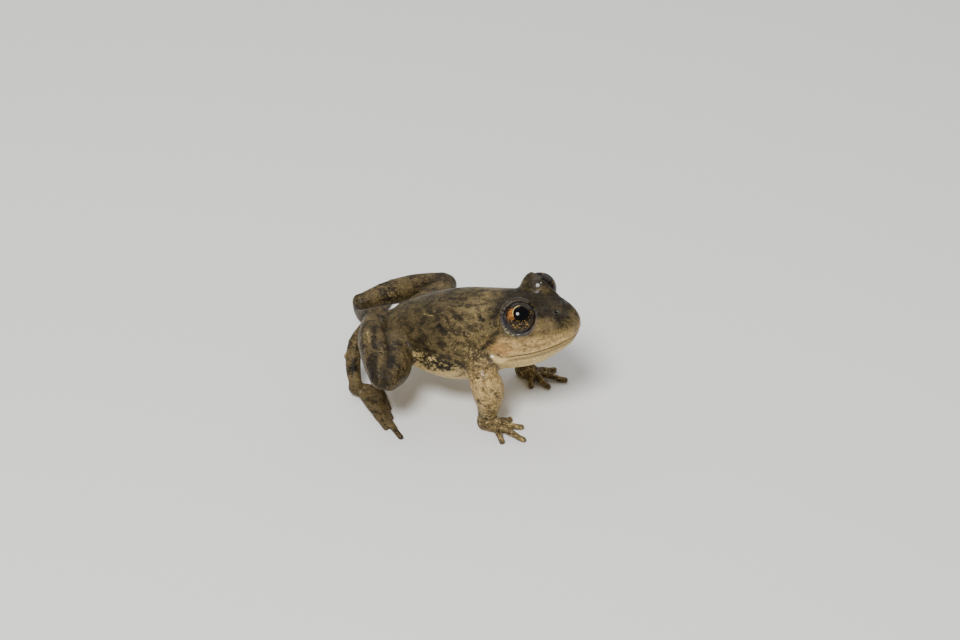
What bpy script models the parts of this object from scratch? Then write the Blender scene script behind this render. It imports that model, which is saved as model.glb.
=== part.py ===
"""A small frog at rest on its four limbs, life size, parted into head, torso, eyes and limb lengths.

The frog faces +X, with +Y to its left and its soles on Z = 0. Sizes are in millimetres and become metres
as each mesh is made. Every part is a loft of rings or a tapered tube; a part that grows from another is
cut by its neighbour's form, swollen by a thin gap, so the two meet face to face.
"""

import math

import bmesh
import bpy
import numpy as np
from mathutils import Matrix, Vector

MM = 0.001
GAP = 0.3

# The trunk and head are one loft. Each station gives its distance from the rump datum, the height of
# its widest line, its half-width, and the heights of its top and its underside.
TRUNK = (
    (1.6, 9.3, 0.5, 9.8, 8.8),
    (2.4, 9.2, 2.3, 11.4, 7.3),
    (4.0, 8.9, 4.2, 12.7, 6.1),
    (7.0, 8.6, 6.0, 14.3, 5.2),
    (10.0, 8.9, 6.8, 15.7, 4.5),
    (13.0, 9.5, 7.1, 16.7, 4.1),
    (16.0, 10.5, 6.8, 17.5, 4.4),
    (19.0, 12.0, 6.3, 18.2, 6.2),
    (21.0, 12.8, 6.2, 18.6, 7.4),
    (23.0, 13.2, 6.15, 18.9, 8.3),
    (25.0, 13.7, 5.85, 19.0, 9.0),
    (27.0, 14.4, 5.1, 18.9, 10.0),
    (28.5, 15.0, 4.25, 18.7, 11.2),
    (29.8, 15.5, 3.3, 18.3, 12.4),
    (30.9, 15.9, 2.2, 17.6, 13.7),
    (31.4, 16.1, 1.3, 17.0, 14.9),
    (31.6, 16.1, 0.6, 16.5, 15.6),
)
TRUNK_POLES = (0.1, 0.05)
TRUNK_RINGS = 27
TRUNK_ENDS_FINER = 0.55
TRUNK_SIDES = 26
TRUNK_FULLNESS = 2.25

NECK_AT = (20.5, 13.0)
NECK_PITCH = math.radians(18.0)

# Each eyeball sits in a socket, and its lids are a cup of skin that ends in a rounded rim.
EYE_RADIUS = 2.45
EYE_CENTRE = (24.0, 3.9, 18.2)
EYE_AXIS = (0.42, 0.8, 0.44)
LID_CUP_RADIUS = 3.1
LID_OUT = 0.7
LID_RADIUS = 2.85
LID_THICK = 0.3

MOUTH_CORNER = (23.2, 12.65)
MOUTH_FRONT = (31.25, 15.2)
MOUTH_SAG = 0.3
MOUTH_SIDE_SHARE = 0.93
MOUTH_SIDE_POINTS = 7
LIP_RADIUS = 0.75
LIP_SUNK = 0.62
LIP_ABOVE = 0.5
LIP_BELOW = 0.55
MOUTH_GROOVE = 0.2
MOUTH_PROUD = 0.12
MOUTH_STEPS = 19

NOSTRIL = (28.6, 1.3)
NOSTRIL_MOUND = 0.7
NOSTRIL_SUNK = 0.48
NOSTRIL_PIT = 0.22
# The pit's two ends about the nostril, as (x, outward y, z).
NOSTRIL_PIT_ENDS = ((0.0, 0.0, 0.8), (-0.1, -0.15, -0.25))

# The right and the left leg, which isn't its mirror image. Each limb length is a list of (x, outward y,
# z, radius). Each toe has its root and its tip as (x, outward y), from the inner toe to the outer one.
LEGS = {
    "R": {
        "side": -1,
        "thigh": ((4.6, 2.0, 9.2, 2.6), (5.6, 6.0, 8.6, 2.5), (7.1, 9.8, 8.4, 2.3), (7.7, 13.0, 8.8, 1.7)),
        "shank": ((6.6, 13.5, 9.1, 1.6), (4.1, 9.5, 9.5, 2.2), (1.7, 5.8, 9.8, 2.1), (0.0, 2.1, 10.0, 1.4)),
        "tarsus": (
            (-0.2, 2.3, 9.6, 1.2),
            (-1.8, 4.0, 6.9, 1.1),
            (-1.3, 6.2, 3.6, 1.1),
            (-0.4, 7.4, 2.0, 0.9),
        ),
        "toes": (
            ((3.3, 6.5), (5.6, 8.9)),
            ((2.7, 6.8), (6.9, 10.9)),
            ((2.0, 7.15), (8.4, 13.0)),
            ((1.3, 7.5), (10.1, 14.6)),
            ((0.6, 7.8), (7.2, 13.4)),
        ),
    },
    "L": {
        "side": 1,
        "thigh": ((4.6, 2.0, 9.2, 2.6), (4.8, 6.0, 8.6, 2.5), (5.4, 9.8, 8.4, 2.3), (5.2, 12.9, 8.7, 1.7)),
        "shank": (
            (4.4, 13.3, 8.7, 1.55),
            (1.6, 10.2, 9.1, 1.9),
            (-1.4, 6.6, 9.3, 1.8),
            (-4.2, 3.2, 9.1, 1.25),
        ),
        "tarsus": (
            (-4.5, 3.4, 8.9, 1.2),
            (-5.3, 5.0, 6.2, 1.0),
            (-5.5, 7.0, 3.4, 0.95),
            (-5.4, 8.3, 2.0, 0.85),
        ),
        "toes": (
            ((-4.7, 10.0), (-3.4, 13.0)),
            ((-5.3, 10.3), (-4.2, 15.6)),
            ((-5.9, 10.5), (-5.9, 18.4)),
            ((-6.5, 10.4), (-8.6, 20.9)),
            ((-7.0, 10.1), (-10.6, 17.0)),
        ),
    },
}
ANKLE_HEIGHT = 1.45
ANKLE_RADIUS = 1.1
FOOT_BONE = 0.75
TOE_ROOT = 0.6
TOE_TIP = 0.36
# A toe as (share of its length, height, radius), and a web's reach, notch, thickness and rise.
TOE_ARCH = ((0.0, 0.95, TOE_ROOT), (0.35, 0.72, 0.55), (0.7, 0.48, 0.46), (1.0, 0.28, TOE_TIP))
WEB_REACH = 0.78
WEB_NOTCH = 0.58
WEB_THICK = 0.5
WEB_RISE = 0.3

ARMS = {
    "R": {"side": -1, "turn": 0.0},
    "L": {"side": 1, "turn": 6.0},
}
UPPER_ARM = ((18.9, 4.0, 11.0, 2.2), (19.2, 5.9, 10.1, 2.1), (19.7, 7.1, 8.7, 1.9))
FOREARM = ((20.1, 7.2, 8.5, 2.1), (20.6, 7.1, 6.7, 2.35), (20.7, 7.1, 4.3, 1.75), (20.4, 7.2, 2.0, 1.2))
PALM = ((20.3, 7.2, 1.0, 1.3), (21.6, 7.1, 0.8, 1.25))
FINGER_ANGLES = (62.0, 22.0, -14.0, -50.0)
FINGER_LENGTHS = (2.9, 3.9, 5.2, 3.7)
# A finger as (share of its length, height, radius).
FINGER_ARCH = ((0.0, 0.9, 0.55), (0.5, 0.75, 0.47), (1.0, 0.3, 0.38))

TUBE_SIDES = 12
DIGIT_SIDES = 6
# A tube's domed end has rings at these angles from its last full ring.
DOME_ANGLES = (35.0, 70.0)

# Cutting blocks reach this far.
CUT_REACH = 60.0

# The middle of the whole outline on the floor, which becomes the origin.
CENTRE = (10.347, 3.097)

SKIN = {
    "back": ((0.085, 0.062, 0.036), 0.5),
    "face": ((0.17, 0.12, 0.065), 0.45),
    "arm": ((0.33, 0.25, 0.13), 0.5),
    "leg": ((0.12, 0.088, 0.055), 0.5),
    "foot": ((0.2, 0.16, 0.1), 0.5),
    "eye": ((0.02, 0.014, 0.01), 0.08),
}


def clear_scene():
    """Removes every object of the startup scene."""
    for ob in list(bpy.data.objects):
        bpy.data.objects.remove(ob, do_unlink=True)


def smooth_rows(rows, count, ends_finer=0.0):
    """Rows of numbers read along a smooth curve through them, at count places.

    Each place is found by cubic Hermite steps whose slopes are the mean of the slopes on either side.
    ends_finer draws the places towards both ends, from 0 for even steps to 1 for cosine steps.
    """
    rows = np.asarray(rows, float)
    steps = np.linalg.norm(np.diff(rows[:, :3], axis=0), axis=1)
    along = np.concatenate([[0.0], np.cumsum(steps)])
    even = np.linspace(0.0, 1.0, count)
    finer = (1.0 - np.cos(math.pi * even)) / 2.0
    places = along[-1] * (even * (1.0 - ends_finer) + finer * ends_finer)
    slopes = np.gradient(rows, along, axis=0)
    index = np.clip(np.searchsorted(along, places, side="right") - 1, 0, len(along) - 2)
    width = (along[index + 1] - along[index])[:, None]
    t = ((places - along[index]) / width[:, 0])[:, None]
    return (
        (2 * t**3 - 3 * t**2 + 1) * rows[index]
        + (t**3 - 2 * t**2 + t) * width * slopes[index]
        + (3 * t**2 - 2 * t**3) * rows[index + 1]
        + (t**3 - t**2) * width * slopes[index + 1]
    )


def material(name, look):
    """A Principled material of the skin or the eye."""
    colour, roughness = look
    made = bpy.data.materials.get(name) or bpy.data.materials.new(name)
    made.use_nodes = True
    shader = made.node_tree.nodes["Principled BSDF"]
    shader.inputs["Base Color"].default_value = (*colour, 1.0)
    shader.inputs["Roughness"].default_value = roughness
    shader.inputs["Metallic"].default_value = 0.0
    return made


def lofted(name, rings, first_pole, last_pole):
    """A closed mesh object of rings of equal length, joined in turn and closed by a fan at each end."""
    mesh = bmesh.new()
    rows = [[mesh.verts.new(Vector(p) * MM) for p in ring] for ring in rings]
    count = len(rows[0])
    for low, high in zip(rows, rows[1:]):
        for i in range(count):
            j = (i + 1) % count
            mesh.faces.new((low[i], low[j], high[j], high[i]))
    for row, pole, turned in ((rows[0], first_pole, True), (rows[-1], last_pole, False)):
        tip = mesh.verts.new(Vector(pole) * MM)
        for i in range(count):
            j = (i + 1) % count
            mesh.faces.new((row[j], row[i], tip) if turned else (row[i], row[j], tip))
    bmesh.ops.recalc_face_normals(mesh, faces=mesh.faces)
    data = bpy.data.meshes.new(name)
    mesh.to_mesh(data)
    mesh.free()
    made = bpy.data.objects.new(name, data)
    bpy.context.collection.objects.link(made)
    return made


def trunk_section(x):
    """The trunk's (widest height, half-width, top, underside) at a distance from the rump datum."""
    table = smooth_rows(TRUNK, 160)
    return [float(np.interp(x, table[:, 0], table[:, i])) for i in range(1, 5)]


def trunk_side(x, z):
    """The half-width of the trunk's skin at a distance from the rump datum and a height."""
    middle, half_width, top, under = trunk_section(x)
    reach = (z - middle) / ((top - middle) if z > middle else (middle - under))
    return half_width * (1.0 - min(abs(reach), 1.0) ** TRUNK_FULLNESS) ** (1.0 / TRUNK_FULLNESS)


def trunk(name, grow=0.0):
    """The loft of trunk and head, with rings of a superellipse whose upper and lower halves differ."""
    table = smooth_rows(TRUNK, TRUNK_RINGS, TRUNK_ENDS_FINER)
    angle = np.arange(TRUNK_SIDES) * 2 * math.pi / TRUNK_SIDES
    power = 2.0 / TRUNK_FULLNESS
    side = np.sign(np.cos(angle)) * np.abs(np.cos(angle)) ** power
    rise = np.sign(np.sin(angle)) * np.abs(np.sin(angle)) ** power
    rings = []
    for x, middle, half_width, top, under in table:
        z = middle + np.where(rise > 0, rise * (top + grow - middle), rise * (middle - under + grow))
        rings.append(np.column_stack([np.full(TRUNK_SIDES, x), side * (half_width + grow), z]))
    first, last = table[0], table[-1]
    rear, front = TRUNK_POLES
    rear_pole = (first[0] - rear - grow, 0, first[1])
    return lofted(name, rings, rear_pole, (last[0] + front + grow, 0, last[1]))


def tube(name, path, sides=TUBE_SIDES, steps=8, grow=0.0):
    """A tapered tube with domed ends along a smooth path of (x, y, z, radius).

    Each ring lies square to the path.
    """
    table = smooth_rows(path, steps)
    points = table[:, :3]
    radii = table[:, 3] + grow
    ways = np.gradient(points, axis=0)
    ways /= np.linalg.norm(ways, axis=1)[:, None]
    near, far = (math.radians(angle) for angle in DOME_ANGLES)
    rings = []

    def ring(centre, way, radius):
        across = np.cross(way, (0.0, 0.0, 1.0))
        if np.linalg.norm(across) < 0.3:
            across = np.cross(way, (1.0, 0.0, 0.0))
        across /= np.linalg.norm(across)
        over = np.cross(across, way)
        angle = np.arange(sides) * 2 * math.pi / sides
        return centre + radius * (np.outer(np.cos(angle), across) + np.outer(np.sin(angle), over))

    for angle in (far, near):
        back = points[0] - ways[0] * radii[0] * math.sin(angle)
        rings.append(ring(back, ways[0], radii[0] * math.cos(angle)))
    rings += [ring(*each) for each in zip(points, ways, radii)]
    for angle in (near, far):
        ahead = points[-1] + ways[-1] * radii[-1] * math.sin(angle)
        rings.append(ring(ahead, ways[-1], radii[-1] * math.cos(angle)))
    return lofted(name, rings, points[0] - ways[0] * radii[0], points[-1] + ways[-1] * radii[-1])


def sided(path, side):
    """A path given with outward y, on the right (-1) or left (1) side."""
    return [(x, y * side, z, radius) for x, y, z, radius in path]


def ball(name, centre, radius, rings=10, segments=16):
    """A closed sphere."""
    mesh = bmesh.new()
    bmesh.ops.create_uvsphere(mesh, u_segments=segments, v_segments=rings, radius=radius * MM)
    bmesh.ops.translate(mesh, verts=mesh.verts, vec=Vector(centre) * MM)
    data = bpy.data.meshes.new(name)
    mesh.to_mesh(data)
    mesh.free()
    made = bpy.data.objects.new(name, data)
    bpy.context.collection.objects.link(made)
    return made


def cup(name, centre, radius, plane_at, plane_way):
    """A sphere cut off flat beyond a plane."""
    mesh = bmesh.new()
    bmesh.ops.create_uvsphere(mesh, u_segments=16, v_segments=10, radius=radius * MM)
    bmesh.ops.translate(mesh, verts=mesh.verts, vec=Vector(centre) * MM)
    whole = mesh.verts[:] + mesh.edges[:] + mesh.faces[:]
    cut = bmesh.ops.bisect_plane(
        mesh, geom=whole, plane_co=Vector(plane_at) * MM, plane_no=Vector(plane_way), clear_outer=True
    )
    bmesh.ops.edgeloop_fill(mesh, edges=[e for e in cut["geom_cut"] if isinstance(e, bmesh.types.BMEdge)])
    bmesh.ops.recalc_face_normals(mesh, faces=mesh.faces)
    data = bpy.data.meshes.new(name)
    mesh.to_mesh(data)
    mesh.free()
    made = bpy.data.objects.new(name, data)
    bpy.context.collection.objects.link(made)
    return made


def block(name, centre, size, pitch=0.0):
    """A box, turned about Y by pitch so that its +X face looks up."""
    mesh = bmesh.new()
    bmesh.ops.create_cube(mesh, size=1.0)
    c, s = math.cos(pitch), math.sin(pitch)
    for vert in mesh.verts:
        x, y, z = (vert.co[i] * size[i] for i in range(3))
        vert.co = (Vector((x * c - z * s, y, x * s + z * c)) + Vector(centre)) * MM
    data = bpy.data.meshes.new(name)
    mesh.to_mesh(data)
    mesh.free()
    made = bpy.data.objects.new(name, data)
    bpy.context.collection.objects.link(made)
    return made


def boolean(target, tools, operation):
    """Applies one Boolean of the target with a collection of closed meshes, then removes them."""
    group = bpy.data.collections.new("tools")
    bpy.context.scene.collection.children.link(group)
    for tool in tools:
        bpy.context.collection.objects.unlink(tool)
        group.objects.link(tool)
    modifier = target.modifiers.new(operation.title(), "BOOLEAN")
    modifier.operation = operation
    modifier.operand_type = "COLLECTION"
    modifier.collection = group
    modifier.solver = "EXACT"
    graph = bpy.context.evaluated_depsgraph_get()
    result = bpy.data.meshes.new_from_object(target.evaluated_get(graph))
    target.modifiers.clear()
    target.data = result
    for tool in tools:
        bpy.data.objects.remove(tool, do_unlink=True)
    bpy.data.collections.remove(group)


def keep_largest(target):
    """Drops every closed surface of the target but the one with the most volume."""
    mesh = bmesh.new()
    mesh.from_mesh(target.data)
    bmesh.ops.triangulate(mesh, faces=mesh.faces)
    left = set(mesh.faces)
    shells = []
    while left:
        found = {left.pop()}
        edge = list(found)
        while edge:
            near = {f for e in edge.pop().edges for f in e.link_faces} & left
            left -= near
            found |= near
            edge += near
        shells.append(found)

    def volume(faces):
        return abs(sum(f.verts[0].co.dot(f.verts[1].co.cross(f.verts[2].co)) for f in faces))

    shells.sort(key=volume)
    for shell in shells[:-1]:
        bmesh.ops.delete(mesh, geom=list(shell), context="FACES")
    mesh.to_mesh(target.data)
    mesh.free()


def finish(target, look):
    """Gives a node its material, smooth shading and place about the origin."""
    keep_largest(target)
    target.data.materials.clear()
    target.data.materials.append(material("frog_" + look, SKIN[look]))
    target.data.shade_smooth()
    target.data.transform(Matrix.Translation((-CENTRE[0] * MM, -CENTRE[1] * MM, 0.0)))
    return target


def eye_axis(side):
    """The way the eye looks, as a unit vector."""
    x, y, z = EYE_AXIS
    return np.array((x, y * side, z)) / math.hypot(x, y, z)


def ring_round(name, centre, axis, radius, thick, sides=6, steps=22):
    """A closed ring of round section about an axis."""
    axis = Vector(axis)
    across = axis.cross((0.0, 0.0, 1.0)).normalized()
    over = across.cross(axis)
    mesh = bmesh.new()
    rows = []
    for i in range(steps):
        turn = 2 * math.pi * i / steps
        out = across * math.cos(turn) + over * math.sin(turn)
        row = []
        for j in range(sides):
            roll = 2 * math.pi * j / sides
            spot = Vector(centre) + out * (radius + thick * math.cos(roll)) + axis * thick * math.sin(roll)
            row.append(mesh.verts.new(spot * MM))
        rows.append(row)
    for i in range(steps):
        for j in range(sides):
            low, high, k = rows[i], rows[(i + 1) % steps], (j + 1) % sides
            mesh.faces.new((low[j], low[k], high[k], high[j]))
    bmesh.ops.recalc_face_normals(mesh, faces=mesh.faces)
    data = bpy.data.meshes.new(name)
    mesh.to_mesh(data)
    mesh.free()
    made = bpy.data.objects.new(name, data)
    bpy.context.collection.objects.link(made)
    return made


def mouth_path(above, radius, sink):
    """The line of the mouth from corner to corner round the snout, raised by above and sunk in the skin."""
    path = []
    for share in np.linspace(0.0, MOUTH_SIDE_SHARE, MOUTH_SIDE_POINTS):
        x = MOUTH_CORNER[0] + share * (MOUTH_FRONT[0] - MOUTH_CORNER[0])
        rise = share * (MOUTH_FRONT[1] - MOUTH_CORNER[1]) - MOUTH_SAG * math.sin(math.pi * share)
        z = MOUTH_CORNER[1] + rise + above
        path.append((x, trunk_side(x, z) - sink, z, radius))
    front = (MOUTH_FRONT[0] - sink, 0.0, MOUTH_FRONT[1] + above, radius)
    near = [(x, -y, z, r) for x, y, z, r in path]
    return near + [front] + path[::-1]


def build_head_and_torso():
    """The trunk with lids, lips, mouth line and nostrils, parted at the neck."""
    head = trunk("head")
    torso = trunk("torso")
    extras = []
    for name, side in (("R", -1), ("L", 1)):
        eye = np.array((EYE_CENTRE[0], EYE_CENTRE[1] * side, EYE_CENTRE[2]))
        rim = eye + eye_axis(side) * LID_OUT
        extras.append(cup("lids_" + name, eye, LID_CUP_RADIUS, rim, eye_axis(side)))
        extras.append(ring_round("rim_" + name, rim, eye_axis(side), LID_RADIUS, LID_THICK))
        x, y = NOSTRIL
        low = (x, y * side, nostril_height(x, y) - NOSTRIL_SUNK)
        extras.append(ball("mound_" + name, low, NOSTRIL_MOUND, rings=8, segments=12))
    for name, above in (("upper_lip", LIP_ABOVE), ("lower_lip", -LIP_BELOW)):
        extras.append(tube(name, mouth_path(above, LIP_RADIUS, LIP_SUNK), sides=6, steps=MOUTH_STEPS))
    boolean(head, extras, "UNION")
    line = mouth_path(0.0, MOUTH_GROOVE, -MOUTH_PROUD)
    cuts = [tube("mouth", line, sides=6, steps=MOUTH_STEPS)]
    for name, side in (("R", -1), ("L", 1)):
        eye = (EYE_CENTRE[0], EYE_CENTRE[1] * side, EYE_CENTRE[2])
        cuts.append(ball("socket_" + name, eye, EYE_RADIUS + GAP))
        x, y = NOSTRIL
        z = nostril_height(x, y)
        pit = [(x + i, y + j, z + k, NOSTRIL_PIT) for i, j, k in NOSTRIL_PIT_ENDS]
        cuts.append(tube("pit_" + name, sided(pit, side), sides=8, steps=3))
    half = CUT_REACH / 2.0
    along = np.array((math.cos(NECK_PITCH), 0.0, math.sin(NECK_PITCH)))
    neck = np.array((NECK_AT[0], 0.0, NECK_AT[1]))
    behind = neck - along * (half - GAP / 2.0)
    ahead = neck + along * (half - GAP / 2.0)
    cube = (CUT_REACH, CUT_REACH, CUT_REACH)
    cuts.append(block("behind_neck", behind, cube, NECK_PITCH))
    boolean(head, cuts, "DIFFERENCE")
    boolean(torso, [block("ahead_of_neck", ahead, cube, NECK_PITCH)], "DIFFERENCE")
    return finish(head, "face"), finish(torso, "back")


def nostril_height(x, y):
    """The height of the snout's upper skin at a place."""
    middle, half_width, top, _under = trunk_section(x)
    share = 1.0 - min(abs(y) / half_width, 1.0) ** TRUNK_FULLNESS
    return middle + (top - middle) * share ** (1.0 / TRUNK_FULLNESS)


def build_eyes():
    """Two eyeballs, each whole in its socket."""
    for name, side in (("R", -1), ("L", 1)):
        eye = (EYE_CENTRE[0], EYE_CENTRE[1] * side, EYE_CENTRE[2])
        finish(ball("eye_" + name, eye, EYE_RADIUS, rings=10, segments=16), "eye")


def floor_cut():
    """A slab whose top is the floor that the soles rest on."""
    return block("floor_cut", (0.0, 0.0, -CUT_REACH / 2.0), (2.0 * CUT_REACH, 2.0 * CUT_REACH, CUT_REACH))


def web(name, toes):
    """A thin sheet between two neighbouring toes, from their roots to a share of the shorter one."""
    mesh = bmesh.new()
    roots = [Vector((*root, 0.0)) for root, _tip in toes]
    ways = [Vector((*tip, 0.0)) - Vector((*root, 0.0)) for root, tip in toes]
    length = min(way.length for way in ways)
    ends = [root + way.normalized() * length * WEB_REACH for root, way in zip(roots, ways)]
    middles = [root + way.normalized() * length * WEB_NOTCH for root, way in zip(roots, ways)]
    outline = [roots[0], ends[0], (middles[0] + middles[1]) / 2.0, ends[1], roots[1]]
    low = [mesh.verts.new(Vector((p.x, p.y, WEB_RISE)) * MM) for p in outline]
    high = [mesh.verts.new(Vector((p.x, p.y, WEB_RISE + WEB_THICK)) * MM) for p in outline]
    count = len(outline)
    mesh.faces.new(low[::-1])
    mesh.faces.new(high)
    for i in range(count):
        j = (i + 1) % count
        mesh.faces.new((low[i], low[j], high[j], high[i]))
    bmesh.ops.recalc_face_normals(mesh, faces=mesh.faces)
    data = bpy.data.meshes.new(name)
    mesh.to_mesh(data)
    mesh.free()
    made = bpy.data.objects.new(name, data)
    bpy.context.collection.objects.link(made)
    return made


def toe_path(ankle, toe):
    """A toe with the foot bone behind it: from the ankle over its root, arched, to its flat tip."""
    root, tip = (np.array(p) for p in toe)
    path = [(ankle[0], ankle[1], ANKLE_HEIGHT, FOOT_BONE)]
    for share, height, radius in TOE_ARCH:
        x, y = root + (tip - root) * share
        path.append((x, y, height, radius))
    return path


def build_leg(name, leg):
    """Thigh, shank, tarsus and webbed foot of one side."""
    side = leg["side"]
    thigh = tube("thigh_" + name, sided(leg["thigh"], side))
    boolean(thigh, [trunk("near", GAP)], "DIFFERENCE")
    shank = tube("shank_" + name, sided(leg["shank"], side))
    near = [trunk("near", GAP), tube("near", sided(leg["thigh"], side), grow=GAP)]
    boolean(shank, near, "DIFFERENCE")
    x, y = leg["tarsus"][-1][:2]
    ankle = (x, y * side, ANKLE_HEIGHT)
    tarsus = tube("tarsus_" + name, sided(leg["tarsus"], side))
    near = [tube("near", sided(leg["shank"], side), grow=GAP), trunk("near", GAP)]
    near.append(ball("near", ankle, ANKLE_RADIUS + GAP, rings=8, segments=14))
    boolean(tarsus, near, "DIFFERENCE")

    foot = ball("foot_" + name, ankle, ANKLE_RADIUS, rings=8, segments=14)
    toes = [[(x, y * side) for x, y in toe] for toe in leg["toes"]]
    pieces = [tube(f"toe_{i}", toe_path(ankle, toe), DIGIT_SIDES, 8) for i, toe in enumerate(toes)]
    pieces += [web(f"web_{i}", pair) for i, pair in enumerate(zip(toes, toes[1:]))]
    boolean(foot, pieces, "UNION")
    boolean(foot, [floor_cut()], "DIFFERENCE")
    for node, look in ((thigh, "leg"), (shank, "leg"), (tarsus, "leg"), (foot, "foot")):
        finish(node, look)


def build_arm(name, arm):
    """Upper arm, forearm and four-fingered hand of one side."""
    side = arm["side"]
    upper = tube("upper_arm_" + name, sided(UPPER_ARM, side))
    boolean(upper, [trunk("near", GAP)], "DIFFERENCE")
    forearm = tube("forearm_" + name, sided(FOREARM, side))
    near = [trunk("near", GAP), tube("near", sided(UPPER_ARM, side), grow=GAP)]
    near.append(tube("near", sided(PALM, side), steps=3, grow=GAP))
    boolean(forearm, near, "DIFFERENCE")
    hand = tube("hand_" + name, sided(PALM, side), steps=3)
    x, y = PALM[-1][:2]
    pieces = []
    for i, (angle, length) in enumerate(zip(FINGER_ANGLES, FINGER_LENGTHS)):
        heading = -math.radians(angle + arm["turn"]) * side
        way = np.array((math.cos(heading), math.sin(heading)))
        path = []
        for share, height, radius in FINGER_ARCH:
            place = np.array((x, y * side)) + way * length * share
            path.append((place[0], place[1], height, radius))
        pieces.append(tube(f"finger_{i}", path, sides=DIGIT_SIDES, steps=5))
    boolean(hand, pieces, "UNION")
    boolean(hand, [floor_cut()], "DIFFERENCE")
    for node, look in ((upper, "arm"), (forearm, "arm"), (hand, "arm")):
        finish(node, look)


def main():
    clear_scene()
    build_head_and_torso()
    build_eyes()
    for name, leg in LEGS.items():
        build_leg(name, leg)
    for name, arm in ARMS.items():
        build_arm(name, arm)
    frog = bpy.data.objects.new("frog", None)
    bpy.context.collection.objects.link(frog)
    for part in bpy.data.objects:
        if part.type == "MESH":
            part.parent = frog


main()
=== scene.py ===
"""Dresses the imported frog: one moist skin over the whole animal, two eyes, and a plain stage.

Run as a script in Blender. The shapes below are in millimetres from the rump datum, with +X to the snout,
+Y to the frog's left and Z up from the floor. Each mesh is moved to the frame's origin and made metres as
it is built.
"""

import math

import bmesh
import bpy
import numpy as np
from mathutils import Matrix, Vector


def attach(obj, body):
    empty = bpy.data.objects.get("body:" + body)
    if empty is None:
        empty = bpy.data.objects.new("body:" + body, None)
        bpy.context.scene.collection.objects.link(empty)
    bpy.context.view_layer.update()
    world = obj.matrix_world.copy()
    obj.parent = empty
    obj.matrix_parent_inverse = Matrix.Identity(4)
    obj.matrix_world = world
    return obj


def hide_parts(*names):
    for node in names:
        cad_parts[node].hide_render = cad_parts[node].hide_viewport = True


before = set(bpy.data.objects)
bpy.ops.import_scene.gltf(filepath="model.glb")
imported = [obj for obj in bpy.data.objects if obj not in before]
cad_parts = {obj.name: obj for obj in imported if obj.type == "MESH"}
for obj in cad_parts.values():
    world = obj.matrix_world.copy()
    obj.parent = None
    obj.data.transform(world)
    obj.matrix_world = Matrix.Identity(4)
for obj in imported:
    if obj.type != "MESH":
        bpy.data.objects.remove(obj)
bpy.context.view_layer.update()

bl_info = {
    "name": "Somuncura frog",
    "version": (1, 0, 0),
    "blender": (4, 5, 0),
    "location": "3D View > Sidebar > Frog",
    "description": "Skin, eyes and stage for a life-size model of a small frog",
    "category": "Object",
}

MM = 0.001
CENTRE = (10.347, 3.097)

# Sides: outward y times -1 is y on the right, which the photograph's camera sees, and times 1 on the left.
BOTH = (-1, 1)
NEAR_SIDE = (-1,)
FAR_SIDE = (1,)

# The trunk and head: distance from the rump datum, height of the widest line, half-width, top, underside.
TRUNK = (
    (1.6, 9.3, 0.5, 9.8, 8.8),
    (2.4, 9.2, 2.3, 11.4, 7.3),
    (4.0, 8.9, 4.2, 12.7, 6.1),
    (7.0, 8.6, 6.0, 14.3, 5.2),
    (10.0, 8.9, 6.8, 15.7, 4.5),
    (13.0, 9.5, 7.1, 16.7, 4.1),
    (16.0, 10.5, 6.8, 17.5, 4.4),
    (19.0, 12.0, 6.3, 18.2, 6.2),
    (21.0, 12.8, 6.2, 18.6, 7.4),
    (23.0, 13.2, 6.15, 18.9, 8.3),
    (25.0, 13.7, 5.85, 19.0, 9.0),
    (27.0, 14.4, 5.1, 18.9, 10.0),
    (28.5, 15.0, 4.25, 18.7, 11.2),
    (29.8, 15.5, 3.3, 18.3, 12.4),
    (30.9, 15.9, 2.2, 17.6, 13.7),
    (31.4, 16.1, 1.3, 17.0, 14.9),
    (31.6, 16.1, 0.6, 16.5, 15.6),
)
# The power of the sections' superellipse, where the trunk is cut off, and the rounding of that cut.
TRUNK_FULLNESS = 2.25
TRUNK_ENDS = (1.5, 31.65)
SNOUT_ROUNDING = 0.5
# The head's own skin starts between these, in distance from the rump datum and in height.
HEAD_START = (20.6, 21.4)
HEAD_UNDERSIDE = (7.0, 8.2)

# The lids are a ball of radius LID_CUP round the eye, cut flat at LID_EDGE from its centre along EYE_AXIS.
# LID_ROLL is the ring of their rolled edge: its radius and its half thickness. LID_BLENDS round the cut, the
# ring and the join to the head.
EYE_CENTRE = (24.0, 3.9, 18.2)
EYE_AXIS = (0.42, 0.8, 0.44)
EYE_LOOK = (0.42, 0.72, 0.55)
SOCKET_RADIUS = 2.39
LID_CUP = 2.82
LID_EDGE = 0.62
LID_ROLL = (2.48, 0.17)
LID_BLENDS = (0.4, 0.25, 1.0)
CORNEA_RISE = 0.03
CORNEA_LEAN = 0.8
EYE_RINGS, EYE_SEGMENTS = 72, 96
PUPIL_CENTRE = (0.03, 0.21)

# The line of the mouth: its ends as distance and height, and how far it sags between them. The lips rise
# behind the corner and fade towards the tip of the snout. JAW_LEAN is the share of a height that counts there.
MOUTH_CORNER = (23.2, 12.65)
MOUTH_FRONT = (31.25, 15.2)
MOUTH_SAG = 0.3
LIPS_RISE = (22.7, 23.9)
LIPS_FADE = (29.8, 31.4)
JAW_LEAN = 0.95
# Ridges and grooves over and under the line of the mouth: height from it, rise, width.
LIPS = (
    (-0.02, -0.24, 0.13),
    (0.4, 0.16, 0.26),
    (0.95, -0.07, 0.16),
    (1.25, 0.05, 0.2),
    (-0.42, 0.09, 0.24),
    (-0.85, -0.05, 0.16),
    (-1.3, 0.05, 0.3),
)

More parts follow.
